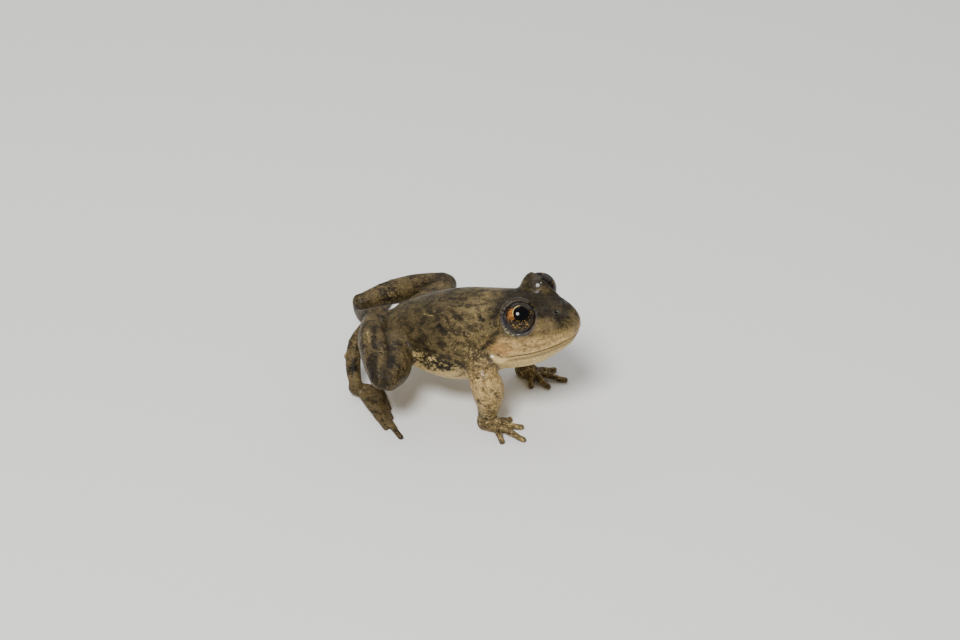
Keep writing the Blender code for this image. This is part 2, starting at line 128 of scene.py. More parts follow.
# Swellings of the skin on both sides: (x, outward y, z, radius) along each, then its blend.
SWELLINGS = (
    (((26.4, 2.8, 17.9, 0.7), (27.6, 2.2, 17.9, 0.65), (28.9, 1.6, 17.75, 0.6), (29.8, 1.2, 17.6, 0.5)), 0.9),
    (((28.55, 1.3, 18.12, 0.62), (28.65, 1.34, 18.1, 0.62)), 0.35),
    (((20.4, 5.2, 12.3, 1.2), (22.8, 5.3, 12.6, 1.3)), 1.0),
    (
        (
            (20.2, 6.6, 12.02, 0.5), (20.7, 6.54, 11.97, 0.58),
            (21.9, 6.36, 11.84, 0.58), (22.5, 6.25, 11.78, 0.45),
        ),
        0.4,
    ),
    (
        ((22.6, 5.45, 16.2, 0.4), (21.4, 5.75, 15.3, 0.45), (20.4, 6.0, 14.1, 0.5), (19.8, 6.35, 12.6, 0.5)),
        0.5,
    ),
    (((19.8, 6.35, 12.6, 0.5), (19.3, 6.6, 11.3, 0.6), (19.6, 6.4, 10.2, 0.6)), 0.8),
    (((22.2, 5.6, 14.9, 0.35), (23.6, 5.7, 14.6, 0.4), (25.2, 5.3, 14.9, 0.35)), 0.7),
)
# Small round bumps, on the right side only: (x, outward y, z, radius).
BUMPS = ((-2.62, 5.65, 5.4, 0.42),)
BUMP_BLEND = 0.3
NOSTRIL = (28.6, 1.3, 18.4)
NOSTRIL_PIT = ((28.74, 1.55, 18.95, 0.24), (28.48, 1.2, 18.15, 0.18))
PIT_BLEND = 0.1
FOLD_RODS, PIT_RODS = 14, 4

# The limbs of each side, from the body outwards: (x, outward y, z, radius) along each, then its blend.
LIMBS = {
    "R": {
        "side": -1,
        "thigh": (
            ((4.6, 2.0, 9.2, 2.6), (5.6, 6.0, 8.6, 2.5), (7.1, 9.8, 8.4, 2.3), (7.7, 13.0, 8.8, 1.7)),
            1.1,
        ),
        "shank": (
            ((6.6, 13.5, 9.1, 1.6), (4.1, 9.5, 9.5, 2.2), (1.7, 5.8, 9.8, 2.1), (0.0, 2.1, 10.0, 1.4)),
            0.25,
        ),
        "tarsus": (
            ((-0.2, 2.3, 9.6, 1.2), (-1.8, 4.0, 6.9, 1.1), (-1.3, 6.2, 3.6, 1.1), (-0.4, 7.4, 2.0, 0.9)),
            0.3,
        ),
        "toes": (
            ((3.3, 6.5), (5.6, 8.9)),
            ((2.7, 6.8), (6.9, 10.9)),
            ((2.0, 7.15), (8.4, 13.0)),
            ((1.3, 7.5), (10.1, 14.6)),
            ((0.6, 7.8), (7.2, 13.4)),
        ),
        "turn": 0.0,
    },
    "L": {
        "side": 1,
        "thigh": (
            ((4.6, 2.0, 9.2, 2.6), (4.8, 6.0, 8.6, 2.5), (5.4, 9.8, 8.4, 2.3), (5.2, 12.9, 8.7, 1.7)),
            1.1,
        ),
        "shank": (
            ((4.4, 13.3, 8.7, 1.55), (1.6, 10.2, 9.1, 1.9), (-1.4, 6.6, 9.3, 1.8), (-4.2, 3.2, 9.1, 1.25)),
            0.25,
        ),
        "tarsus": (
            ((-4.5, 3.4, 8.9, 1.2), (-5.3, 5.0, 6.2, 1.0), (-5.5, 7.0, 3.4, 0.95), (-5.4, 8.3, 2.0, 0.85)),
            0.3,
        ),
        "toes": (
            ((-4.7, 10.0), (-3.4, 13.0)),
            ((-5.3, 10.3), (-4.2, 15.6)),
            ((-5.9, 10.5), (-5.9, 18.4)),
            ((-6.5, 10.4), (-8.6, 20.9)),
            ((-7.0, 10.1), (-10.6, 17.0)),
        ),
        "turn": 6.0,
    },
}
# The heel's ball over the floor: height, radius and blend.
ANKLE = (1.45, 1.1, 0.35)
# Toes and fingers from root to tip: share of the length, height, radius. They are thicker at their joints.
TOE_ARCH = (
    (0.0, 0.95, 0.6), (0.2, 0.84, 0.55), (0.36, 0.74, 0.58), (0.5, 0.62, 0.49), (0.66, 0.52, 0.52),
    (0.8, 0.42, 0.43), (0.92, 0.34, 0.4), (1.0, 0.32, 0.4),
)
TOE_BLEND = 0.25
TOE_START = 1.25
TOE_RODS = 24
# The web between two toes: how far it reaches at them and in its middle, as shares of the shorter toe, how many
# rods lie side by side in it, and the rods' height and radius at the root and at the edge.
WEB_REACH = 0.78
WEB_NOTCH = 0.58
WEB_RODS = 13
WEB_ROOT = (0.62, 0.286)
WEB_EDGE = (0.42, 0.198)
WEB_BLEND = 0.15
UPPER_ARM = (((18.9, 4.0, 11.0, 2.2), (19.2, 5.9, 10.1, 2.1), (19.7, 7.1, 8.7, 1.9)), 1.6)
FOREARM = (
    ((20.1, 7.2, 8.5, 2.1), (20.6, 7.1, 6.7, 2.35), (20.7, 7.1, 4.3, 1.75), (20.4, 7.2, 2.0, 1.2)),
    0.45,
)
PALM = (((20.3, 7.2, 1.0, 1.3), (21.6, 7.1, 0.8, 1.25)), 0.6)
# Fingers, the innermost first: degrees turned inwards from straight ahead, and lengths from the palm.
FINGER_ANGLES = (62.0, 22.0, -14.0, -50.0)
FINGER_LENGTHS = (2.9, 3.9, 5.2, 3.7)
FINGER_ARCH = (
    (0.0, 0.9, 0.6), (0.3, 0.86, 0.5), (0.5, 0.76, 0.53), (0.72, 0.56, 0.43), (0.9, 0.38, 0.42),
    (1.0, 0.36, 0.44),
)
FINGER_BLEND = 0.25

# A rod's distance is worked out within MARGIN of its form's box, and is OUT_OF_REACH beyond that.
OUT_OF_REACH = 4.0
MARGIN = 2.2
SKIN_BOX = ((-12.1, -16.3, -0.3), (33.0, 22.5, 22.6))
EVERY = 4
FULL_WITHIN = 6.0
# How far along an axis the slope is read, the least slope counted, and how far a point moves at once.
SLOPE_STEP = 0.02
LEAST_SLOPE = 0.3
LARGEST_MOVE = 0.15
# Where the mesh is finer: within these of the mouth's line, of a nostril and of a lid's edge. The mouth's part
# starts behind its corner, and the lids' edges are refined once more.
MOUTH_FINE = 0.8
FINE_FROM = 22.6
NOSTRIL_FINE = 0.7
LID_FINE, LID_FINEST = 0.55, 0.27
# How far a form's colours reach into its neighbour's.
COLOUR_REACH = 0.3
# Low warts: the seed and number of their places, their radii and heights. They are kept over a height and
# behind a distance from the rump datum, and each is worked out within a number of its radii.
WART_SEED = 11
WART_COUNT = 1100
WART_RADII = (0.24, 0.5)
WART_HEIGHTS = (0.03, 0.09)
WARTS_OVER = 4.0
WARTS_BEHIND = 23.0
WART_REACH = 2.2

# Dark marks, each a soft rod: two ends as (x, outward y, z), radius, strength, and on which sides. A mark fades
# out at MARK_FADE times its radius. The two in the gaps at the near knee are painted shade.
MARK_FADE = 1.6
DARK_MARKS_AND_SHADE = (
    ((14.2, 4.1, 15.9), (15.3, 4.5, 15.9), 0.6, 0.85, NEAR_SIDE),
    ((12.2, 5.3, 14.3), (13.3, 6.0, 14.0), 0.65, 0.9, NEAR_SIDE),
    ((18.0, 4.2, 16.7), (18.7, 4.5, 16.6), 0.45, 0.8, NEAR_SIDE),
    ((14.9, 2.3, 17.0), (15.8, 2.7, 17.0), 0.5, 0.6, NEAR_SIDE),
    ((11.0, 3.9, 15.1), (12.0, 4.6, 15.1), 0.5, 0.6, NEAR_SIDE),
    ((6.9, 4.5, 12.6), (7.8, 5.2, 12.5), 0.6, 0.65, NEAR_SIDE),
    ((5.0, 3.0, 12.9), (6.0, 3.5, 13.1), 0.6, 0.6, NEAR_SIDE),
    ((15.2, 5.3, 15.1), (16.2, 5.8, 14.8), 0.45, 0.55, NEAR_SIDE),
    ((8.4, 2.2, 15.2), (9.8, 2.8, 15.5), 0.55, 0.65, NEAR_SIDE),
    ((11.8, 0.6, 16.3), (12.8, 1.0, 16.6), 0.6, 0.7, NEAR_SIDE),
    ((17.2, 1.0, 17.8), (18.2, 1.4, 17.9), 0.55, 0.6, NEAR_SIDE),
    ((9.6, 5.6, 12.8), (10.6, 6.2, 12.4), 0.5, 0.6, NEAR_SIDE),
    ((13.4, 3.2, 16.1), (14.4, 3.8, 16.0), 0.6, 0.75, FAR_SIDE),
    ((10.6, 4.9, 14.1), (11.8, 5.4, 13.9), 0.65, 0.8, FAR_SIDE),
    ((16.6, 4.2, 16.5), (17.4, 4.6, 16.4), 0.55, 0.7, FAR_SIDE),
    ((8.0, 1.6, 15.0), (9.2, 2.0, 15.5), 0.55, 0.65, FAR_SIDE),
    ((6.0, 3.9, 12.9), (7.0, 4.5, 12.8), 0.6, 0.7, FAR_SIDE),
    ((14.6, 5.8, 13.9), (15.6, 6.2, 13.7), 0.5, 0.65, FAR_SIDE),
    ((23.0, 5.6, 16.0), (21.2, 5.95, 15.0), 0.45, 0.7, BOTH),
    ((21.4, 6.0, 15.1), (20.3, 6.3, 14.2), 0.6, 0.85, BOTH),
    ((20.3, 6.3, 14.2), (19.2, 6.8, 12.6), 0.5, 0.75, BOTH),
    ((19.2, 6.8, 12.6), (18.9, 6.9, 11.2), 0.6, 0.65, BOTH),
    ((22.0, 6.4, 12.7), (23.1, 6.2, 12.7), 0.45, 0.9, BOTH),
    ((28.45, 1.3, 18.6), (28.75, 1.6, 18.5), 0.62, 1.3, BOTH),
    ((27.2, 1.7, 18.5), (29.2, 2.1, 17.9), 1.05, 0.8, BOTH),
    ((26.6, 2.6, 18.3), (27.8, 2.9, 17.5), 0.8, 0.55, BOTH),
    ((5.5, 5.6, 9.9), (7.7, 6.3, 10.6), 0.55, 0.7, BOTH),
    ((7.7, 6.3, 10.6), (9.2, 6.7, 10.7), 0.5, 0.75, BOTH),
    ((10.6, 6.7, 10.8), (12.3, 7.05, 10.9), 0.5, 0.75, BOTH),
    ((13.2, 7.05, 10.7), (14.6, 6.95, 10.4), 0.5, 0.8, BOTH),
    ((15.4, 6.95, 10.1), (16.8, 6.8, 9.4), 0.5, 0.8, BOTH),
    # Painted shade in a gap at the near knee.
    ((4.6, 12.2, 11.1), (5.6, 14.2, 10.1), 1.15, 1.3, NEAR_SIDE),
    ((0.3, 5.8, 11.4), (2.2, 10.0, 10.7), 0.6, 0.8, NEAR_SIDE),
    ((2.2, 6.0, 11.9), (4.2, 10.4, 11.6), 0.55, 0.8, NEAR_SIDE),
    ((-1.1, 6.9, 4.3), (-0.9, 6.3, 5.4), 0.85, 0.85, NEAR_SIDE),
    ((-2.1, 3.9, 8.2), (-2.4, 4.4, 6.9), 0.7, 0.7, NEAR_SIDE),
    # Painted shade in the gap between thigh and shank at the near knee.
    ((7.0, 10.2, 10.7), (7.6, 12.4, 10.5), 0.7, 0.9, NEAR_SIDE),
    ((8.6, 9.0, 9.8), (9.2, 10.6, 9.2), 0.55, 0.65, NEAR_SIDE),
    ((8.6, 12.4, 9.9), (9.2, 13.3, 9.3), 0.55, 0.65, NEAR_SIDE),
    ((3.4, 12.4, 9.9), (4.4, 13.6, 9.6), 0.8, 0.6, FAR_SIDE),
    ((0.4, 9.8, 10.8), (1.4, 11.0, 10.6), 0.7, 0.6, FAR_SIDE),
    ((-2.6, 6.0, 11.0), (-1.6, 7.2, 10.9), 0.65, 0.6, FAR_SIDE),
    ((19.4, 8.9, 9.6), (20.8, 9.0, 9.9), 0.42, 0.7, BOTH),
    ((20.0, 9.4, 5.9), (21.3, 9.2, 5.3), 0.8, 0.6, BOTH),
    ((21.6, 8.9, 4.9), (21.2, 8.6, 3.9), 0.7, 0.55, BOTH),
    ((20.4, 8.5, 2.6), (21.4, 8.3, 2.4), 0.7, 0.55, BOTH),
    ((21.9, 8.8, 7.9), (22.4, 8.4, 6.9), 0.45, 0.65, BOTH),
    ((20.6, 9.2, 8.6), (21.2, 9.3, 7.6), 0.4, 0.5, BOTH),
)
# Pale marks in the same form.
PALE_MARKS = (
    ((1.3, 6.6, 12.0), (3.3, 10.2, 11.8), 0.5, 0.7, NEAR_SIDE),
    ((-2.9, 5.7, 5.4), (-2.7, 5.6, 5.5), 0.7, 0.75, NEAR_SIDE),
    ((3.0, 12.0, 10.6), (3.9, 13.8, 9.9), 0.5, 0.7, NEAR_SIDE),
    ((6.2, 12.4, 10.6), (6.9, 14.2, 9.6), 0.5, 0.7, NEAR_SIDE),
    ((-2.2, 6.2, 4.6), (-1.7, 6.8, 3.4), 0.5, 0.7, NEAR_SIDE),
    ((6.6, 6.2, 9.3), (7.4, 6.4, 9.5), 0.55, 0.8, BOTH),
    ((8.9, 6.7, 9.6), (9.8, 6.9, 9.7), 0.6, 0.85, BOTH),
    ((11.4, 7.0, 9.6), (12.2, 7.1, 9.5), 0.55, 0.85, BOTH),
    ((13.6, 7.1, 9.2), (14.4, 7.1, 9.0), 0.55, 0.8, BOTH),
    ((7.9, 6.2, 8.0), (9.4, 6.5, 7.7), 0.6, 0.8, BOTH),
    ((11.0, 6.7, 7.8), (12.6, 6.8, 7.6), 0.6, 0.8, BOTH),
    ((10.0, 5.9, 11.9), (11.2, 6.4, 11.8), 0.4, 0.55, BOTH),
    ((16.9, 6.6, 12.4), (17.8, 6.6, 12.0), 0.5, 0.5, BOTH),
    ((9.0, 3.4, 14.6), (10.6, 4.0, 14.9), 0.4, 0.5, BOTH),
    ((13.0, 4.6, 15.2), (14.4, 5.2, 15.1), 0.4, 0.45, BOTH),
)
# Lines along the trunk, as places from the rump datum and heights there. That of the cheek is over the mouth.
FLANK_LINE = ((3.5, 7.9, 13.0, 16.4, 18.5), (9.0, 10.3, 10.7, 9.4, 8.8))
BELLY_LINE = ((3.5, 7.9, 13.0, 16.4, 19.0), (6.9, 6.7, 6.2, 6.6, 7.0))
CHEEK_LINE = ((20.0, 21.5, 23.0, 25.0, 27.0, 29.0, 31.5), (0.6, 2.8, 3.2, 3.0, 2.9, 2.3, 1.6))
# Bars across the limbs: how many on each form, and how far they are moved along it.
BARS = {"thigh": (2.4, 0.1), "shank": (2.7, 0.35), "tarsus": (2.6, 0.2), "foot": (3.5, 0.0)}
# The warm spot behind the mouth: its place, and how much each way counts in the distance from it.
WARM_PLACE = (22.3, 6.1, 13.9)
WARM_STRETCH = (0.45, 1.0, 0.9)
# Wet places, where the light catches, on both sides: (x, outward y, z), radius.
WET_PLACES = (
    ((21.3, 6.8, 12.2), 1.5),
    ((24.2, 2.6, 20.3), 1.1),
    ((28.7, 1.4, 18.6), 0.8),
    ((24.0, 6.0, 18.2), 3.0),
)

# The floor's half-width in metres, and the light of the studio's walls.
FLOOR_REACH = 1.5
WALL_COLOUR = (0.93, 0.93, 0.92, 1.0)
WALL_STRENGTH = 0.4
# The lights: azimuth from the animal's right towards its snout and elevation in degrees, distance and width
# in metres, share of their power. The first is the key light.
LIGHTS = {
    "key": (3.0, 55.0, 0.55, 0.2, 1.0),
    "fill_rear": (-130.0, 55.0, 0.9, 0.9, 1.0),
    "fill_side": (165.0, 35.0, 0.9, 0.8, 0.5),
}
# The camera: what it looks at in millimetres, and in which direction and how far from there it stands.
AIM = (16.33, 0.0, 13.25)
CAMERA = (23.0, 34.0, 386.5)
SENSOR_WIDTH = 36.0


def smoothstep(low, high, value):
    """0 below low and 1 above high, with an eased rise between them."""
    t = np.clip((value - low) / (high - low), 0.0, 1.0)
    return t * t * (3.0 - 2.0 * t)


def on_side(place, side):
    """A place given with outward y, on the right (-1) or left (1) side."""
    x, y, z = place
    return np.array((x, y * side, z))


def smooth_rows(rows, count):
    """Rows of numbers read at count even places along a smooth curve through them.

    Between two rows the curve is a cubic Hermite piece whose end slopes are the mean slopes there.
    """
    rows = np.asarray(rows, float)
    steps = np.linalg.norm(np.diff(rows[:, :3], axis=0), axis=1)
    along = np.concatenate([[0.0], np.cumsum(steps)])
    places = np.linspace(0.0, along[-1], count)
    slopes = np.gradient(rows, along, axis=0)
    index = np.clip(np.searchsorted(along, places, side="right") - 1, 0, len(along) - 2)
    width = (along[index + 1] - along[index])[:, None]
    t = ((places - along[index]) / width[:, 0])[:, None]
    return (
        (2 * t**3 - 3 * t**2 + 1) * rows[index]
        + (t**3 - 2 * t**2 + t) * width * slopes[index]
        + (3 * t**2 - 2 * t**3) * rows[index + 1]
        + (t**3 - t**2) * width * slopes[index + 1]
    )


def smooth_join(a, b, blend):
    """The lesser of two distances, less a quarter of their overlap within blend, squared, over blend."""
    overlap = np.maximum(blend - np.abs(a - b), 0.0)
    return np.minimum(a, b) - overlap * overlap / (4.0 * blend)


TRUNK_TABLE = smooth_rows(TRUNK, 400)


def trunk_reach(x, y, z):
    """How far out a point is in the trunk's section at x: 1 on the skin, from a superellipse's formula.

    The reach is (across^p + up^p)^(1/p), where across is |y| over the half-width, and up is the height
    from the widest line over the height of the top, or the depth of the underside, from that line.
    """
    middle, half_width, top, under = (np.interp(x, TRUNK_TABLE[:, 0], TRUNK_TABLE[:, i]) for i in range(1, 5))
    height = np.where(z > middle, top - middle, middle - under)
    across = np.abs(y) / half_width
    up = np.abs(z - middle) / height
    reach = np.maximum(across**TRUNK_FULLNESS + up**TRUNK_FULLNESS, 1e-3) ** (1.0 / TRUNK_FULLNESS)
    return reach, across, up, half_width, height


def trunk_distance(points):
    """The distance to the trunk: its reach less one, over the length of the reach's slope."""
    x, y, z = points.T
    reach, across, up, half_width, height = trunk_reach(x, y, z)
    scale = reach ** (1.0 - TRUNK_FULLNESS)
    slope_y = scale * across ** (TRUNK_FULLNESS - 1.0) / half_width
    slope_z = scale * up ** (TRUNK_FULLNESS - 1.0) / height
    step = 0.05
    slope_x = (trunk_reach(x + step, y, z)[0] - trunk_reach(x - step, y, z)[0]) / (2.0 * step)
    distance = (reach - 1.0) / np.sqrt(slope_x**2 + slope_y**2 + slope_z**2 + 1e-6)
    ends = np.maximum(x - TRUNK_ENDS[1], TRUNK_ENDS[0] - x)
    return -smooth_join(-distance, -ends, SNOUT_ROUNDING)


class Rods:
    """Straight tapered rods with round ends, joined into one form."""

    def __init__(self, starts, ends, blend):
        self.starts = np.asarray(starts, float)
        self.ends = np.asarray(ends, float)
        self.blend = blend
        both = np.vstack([self.starts, self.ends])
        self.low = (both[:, :3] - both[:, 3:4]).min(0) - MARGIN
        self.high = (both[:, :3] + both[:, 3:4]).max(0) + MARGIN

    def distance(self, points, with_share=False):
        """The distance to the nearest rod's middle line, less the rod's radius at that place.

        with_share also gives how far along the form, from 0 to 1, that place is.
        """
        distance = np.full(len(points), OUT_OF_REACH)
        share = np.zeros(len(points))
        near = np.all((points > self.low) & (points < self.high), axis=1)
        close = points[near]
        if len(close):
            best = np.full(len(close), OUT_OF_REACH)
            place = np.zeros(len(close))
            for i, (start, end) in enumerate(zip(self.starts, self.ends)):
                way = end[:3] - start[:3]
                out = close - start[:3]
                t = np.clip(out @ way / max(way @ way, 1e-9), 0.0, 1.0)
                here = np.linalg.norm(out - t[:, None] * way, axis=1) - (start[3] + t * (end[3] - start[3]))
                place = np.where(here < best, (i + t) / len(self.starts), place)
                best = np.minimum(best, here)
            distance[near] = best
            share[near] = place
        return (distance, share) if with_share else distance


def tube(rows, blend, count=20):
    """A form along a smooth path of (x, y, z, radius)."""
    path = smooth_rows(rows, count)
    return Rods(path[:-1], path[1:], blend)


def sided(rows, side):
    """Rows given with outward y, on the right (-1) or left (1) side."""
    return [(x, y * side, *rest) for x, y, *rest in rows]


def web(toes, side):
    """A thin sheet between two toes, as a fan of rods from their roots to a scalloped edge.

    The edge is a parabola from one toe to the other whose middle is drawn back towards the roots.
    """
    roots = np.array([(x, y * side) for (x, y), _tip in toes])
    tips = np.array([(x, y * side) for _root, (x, y) in toes])
    lengths = np.linalg.norm(tips - roots, axis=1)
    ways = (tips - roots) / lengths[:, None]
    ends = roots + ways * lengths.min() * WEB_REACH
    notch = (roots + ways * lengths.min() * WEB_NOTCH).mean(0)
    pull = 2.0 * notch - ends.mean(0)
    share = np.linspace(0.0, 1.0, WEB_RODS)[:, None]
    edge = (1 - share) ** 2 * ends[0] + 2 * share * (1 - share) * pull + share**2 * ends[1]
    base = roots[0] + share * (roots[1] - roots[0])
    starts = np.hstack([base, np.tile(WEB_ROOT, (WEB_RODS, 1))])
    stops = np.hstack([edge, np.tile(WEB_EDGE, (WEB_RODS, 1))])
    return Rods(starts, stops, WEB_BLEND)


def limb_forms():
    """Every form of the four limbs with its name, in the order in which they are joined."""
    forms = []
    for name, limb in LIMBS.items():
        side = limb["side"]
        for part in ("thigh", "shank", "tarsus"):
            rows, blend = limb[part]
            forms.append((part + "_" + name, tube(sided(rows, side), blend)))
        x, y = limb["tarsus"][0][-1][:2]
        height, radius, blend = ANKLE
        ankle = (x, y * side, height, radius)
        forms.append(("foot_" + name, Rods([ankle], [ankle], blend)))
        for root, tip in limb["toes"]:
            root, tip = np.array(root), np.array(tip)
            rows = [(x, y, height, TOE_ARCH[0][2] * TOE_START)]
            rows += [(*(root + (tip - root) * share), h, r) for share, h, r in TOE_ARCH]
            forms.append(("foot_" + name, tube(sided(rows, side), TOE_BLEND, TOE_RODS)))
        for toes in zip(limb["toes"], limb["toes"][1:]):
            forms.append(("web_" + name, web(toes, side)))
        for part, (rows, blend) in (("upper_arm", UPPER_ARM), ("forearm", FOREARM), ("hand", PALM)):
            forms.append((part + "_" + name, tube(sided(rows, side), blend)))
        x, y = PALM[0][-1][:2]
        for angle, length in zip(FINGER_ANGLES, FINGER_LENGTHS):
            heading = math.radians(angle + limb["turn"])
            way = np.array((math.cos(heading), -math.sin(heading)))
            rows = [(*(np.array((x, y)) + way * length * share), h, r) for share, h, r in FINGER_ARCH]
            forms.append(("hand_" + name, tube(sided(rows, side), FINGER_BLEND)))
    return forms


LIMB_FORMS = limb_forms()
HEAD_FORMS = [tube(sided(rows, side), blend, FOLD_RODS) for rows, blend in SWELLINGS for side in BOTH]
SMALL_BUMPS = [Rods([(x, -y, z, r)], [(x, -y, z, r)], BUMP_BLEND) for x, y, z, r in BUMPS]
PITS = [tube(sided(NOSTRIL_PIT, side), PIT_BLEND, PIT_RODS) for side in BOTH]


def unit(way):
    """The way as a vector of length one."""
    return np.asarray(way, float) / np.linalg.norm(way)


def round_eye(points, side):
    """Along and across the eye's axis, and the distance from its centre, for each point."""
    out = points - on_side(EYE_CENTRE, side)
    along = out @ on_side(unit(EYE_AXIS), side)
    from_centre = np.linalg.norm(out, axis=1)
    across = np.sqrt(np.maximum(from_centre**2 - along**2, 0.0))
    return along, across, from_centre


def skin_distance(points):
    """The distance to the whole skin.

    Every form is rounded into those before it. Sockets, nostrils and all that is below the floor are cut off.
    """
    total = trunk_distance(points)
    for form in HEAD_FORMS:
        total = smooth_join(total, form.distance(points), form.blend)
    cut_blend, roll_blend, head_blend = LID_BLENDS
    for side in BOTH:
        along, across, from_centre = round_eye(points, side)
        cup = -smooth_join(LID_CUP - from_centre, LID_EDGE - along, cut_blend)
        roll = np.hypot(across - LID_ROLL[0], along - LID_EDGE) - LID_ROLL[1]
        lids = smooth_join(cup, roll, roll_blend)
        total = smooth_join(total, lids, head_blend)
        total = np.maximum(total, SOCKET_RADIUS - from_centre)
    for _name, form in LIMB_FORMS:
        total = smooth_join(total, form.distance(points), form.blend)
    for bump in SMALL_BUMPS:
        total = smooth_join(total, bump.distance(points), bump.blend)
    for pit in PITS:
        total = np.maximum(total, -pit.distance(points))
    return np.maximum(total, -points[:, 2])


def lattice_values(distance, axes):
    """The distance at every place of a lattice, worked out in full only near the skin.

    One place in EVERY along each axis comes first. The others take their values from there, unless that is
    within reach of the skin, where each place's own distance is worked out.
    """
    coarse = [axis[::EVERY] for axis in axes]
    grid = np.stack(np.meshgrid(*coarse, indexing="ij"), axis=-1)
    rough = distance(grid.reshape(-1, 3)).reshape(grid.shape[:3])
    for way in range(3):
        rough = np.repeat(rough, EVERY, axis=way)
    values = rough[tuple(slice(0, len(axis)) for axis in axes)].copy()
    reach = FULL_WITHIN * (axes[0][1] - axes[0][0])
    index = np.argwhere(np.abs(values) < reach)
    places = np.column_stack([axis[index[:, i]] for i, axis in enumerate(axes)])
    values[tuple(index.T)] = distance(places)
    return values


def level_surface(distance, low, high, step):
    """The surface where a distance is nought, as vertices and four-sided faces.

    Each cell of a lattice that the surface crosses gets one vertex, at the mean of the crossings on its
    edges. Each lattice edge that it crosses gets one face, through the four cells round that edge.
    """
    axes = [np.arange(a, b, step) for a, b in zip(low, high)]
    values = lattice_values(distance, axes)
    shape = np.array(values.shape)
    crossings = []
    for axis in range(3):
        first = np.moveaxis(values, axis, 0)[:-1]
        second = np.moveaxis(values, axis, 0)[1:]
        index = np.argwhere((first < 0) != (second < 0))
        a = first[tuple(index.T)]
        b = second[tuple(index.T)]
        index = np.insert(index[:, 1:], axis, index[:, 0], axis=1)
        spot = index.astype(float)
        spot[:, axis] += a / (a - b)
        cells = []
        u, v = np.eye(3, dtype=int)[(axis + 1) % 3], np.eye(3, dtype=int)[(axis + 2) % 3]
        for shift in (0 * u, u, u + v, v):
            cells.append(np.ravel_multi_index((index - shift).T, shape))
        quads = np.column_stack(cells)
        quads[a > b] = quads[a > b][:, ::-1]
        crossings.append((quads, spot))
    quads = np.vstack([q for q, _s in crossings])
    spots = np.vstack([s for _q, s in crossings])
    used, order = np.unique(quads, return_inverse=True)
    faces = order.reshape(quads.shape)
    count = np.bincount(faces.ravel(), minlength=len(used))
    total = [np.bincount(faces.ravel(), np.repeat(spots[:, i], 4), len(used)) for i in range(3)]
    vertices = np.array(low) + step * np.column_stack(total) / count[:, None]
    return vertices, faces


def slope_of(distance, points, values):
    """The slope of a distance by steps along each axis."""
    slopes = [(distance(points + SLOPE_STEP * way) - values) / SLOPE_STEP for way in np.eye(3)]
    return np.column_stack(slopes)


def settle(points, rounds):
    """Moves points down the skin distance's slope onto the skin."""
    for _round in range(rounds):
        values = skin_distance(points)
        slopes = slope_of(skin_distance, points, values)
        steep = np.maximum((slopes**2).sum(1), LEAST_SLOPE)
        move = np.clip(values / steep, -LARGEST_MOVE, LARGEST_MOVE)
        points = points - move[:, None] * slopes
    points[:, 2] = np.maximum(points[:, 2], 0.0)
    return points


def coordinates(mesh):
    """A mesh's vertex coordinates as rows."""
    flat = np.empty(len(mesh.vertices) * 3)
    mesh.vertices.foreach_get("co", flat)
    return flat.reshape(-1, 3)


def edge_ends(mesh):
    """The two vertices of each edge of a mesh as rows."""
    flat = np.empty(len(mesh.edges) * 2, int)
    mesh.edges.foreach_get("vertices", flat)
    return flat.reshape(-1, 2)


def relaxed(points, edges, weight):
    """Each point drawn by weight towards the mean of its neighbours."""
    total = np.zeros_like(points)
    count = np.bincount(edges.ravel(), minlength=len(points))
    for a, b in ((0, 1), (1, 0)):
        for i in range(3):
            total[:, i] += np.bincount(edges[:, a], points[edges[:, b], i], len(points))
    return points + weight * (total / np.maximum(count, 1)[:, None] - points)


def split_where(mesh, chosen):
    """Cuts in two every edge of a mesh whose ends are both chosen, and fills the faces between."""
    work = bmesh.new()
    work.from_mesh(mesh)
    work.verts.ensure_lookup_table()
    edges = [e for e in work.edges if chosen[e.verts[0].index] and chosen[e.verts[1].index]]
    bmesh.ops.subdivide_edges(work, edges=edges, cuts=1, use_grid_fill=True)
    work.to_mesh(mesh)
    work.free()


def mouth_height(x):
    """The height of the line of the mouth at a distance from the rump datum."""
    share = np.clip((x - MOUTH_CORNER[0]) / (MOUTH_FRONT[0] - MOUTH_CORNER[0]), 0.0, 1.0)
    return MOUTH_CORNER[1] + share * (MOUTH_FRONT[1] - MOUTH_CORNER[1]) - MOUTH_SAG * np.sin(np.pi * share)


def ridge(offset, middle, width):
    """A bell-shaped ridge, 1 at the middle and falling off by the width."""
    return np.exp(-(((offset - middle) / width) ** 2))


def on_head(points):
    """1 on the head's own skin and 0 on the rest."""
    return smoothstep(*HEAD_START, points[:, 0]) * smoothstep(*HEAD_UNDERSIDE, points[:, 2])


def mouth_relief(points):
    """The lips and the line of the mouth: ridges and grooves by height above or below the line."""
    x, _y, z = points.T
    offset = (z - mouth_height(x)) * JAW_LEAN
    profile = sum(rise * ridge(offset, middle, width) for middle, rise, width in LIPS)
    fading = smoothstep(*LIPS_RISE, x) * (1.0 - 0.55 * smoothstep(*LIPS_FADE, x))
    return profile * fading * on_head(points)


def wart_relief(points):
    """Low round warts on the back, flanks and legs, each a bell on its seeded place."""
    random = np.random.default_rng(WART_SEED)
    places = points[random.choice(len(points), WART_COUNT, replace=False)]
    radii = random.uniform(*WART_RADII, len(places))
    heights = random.uniform(*WART_HEIGHTS, len(places))
    wanted = (places[:, 2] > WARTS_OVER) & (places[:, 0] < WARTS_BEHIND)
    relief = np.zeros(len(points))
    for place, radius, height in zip(places[wanted], radii[wanted], heights[wanted]):
        near = np.abs(points - place).max(1) < WART_REACH * radius
        away = ((points[near] - place) ** 2).sum(1)
        relief[near] = np.maximum(relief[near], height * np.exp(-away / radius**2))
    return relief


def lid_edges(points, reach=LID_FINEST):
    """True for points within reach of the edge of a lid."""
    near = np.zeros(len(points), bool)
    for side in BOTH:
        along, across, _from_centre = round_eye(points, side)
        near |= np.hypot(across - LID_ROLL[0], along - LID_EDGE) < reach
    return near


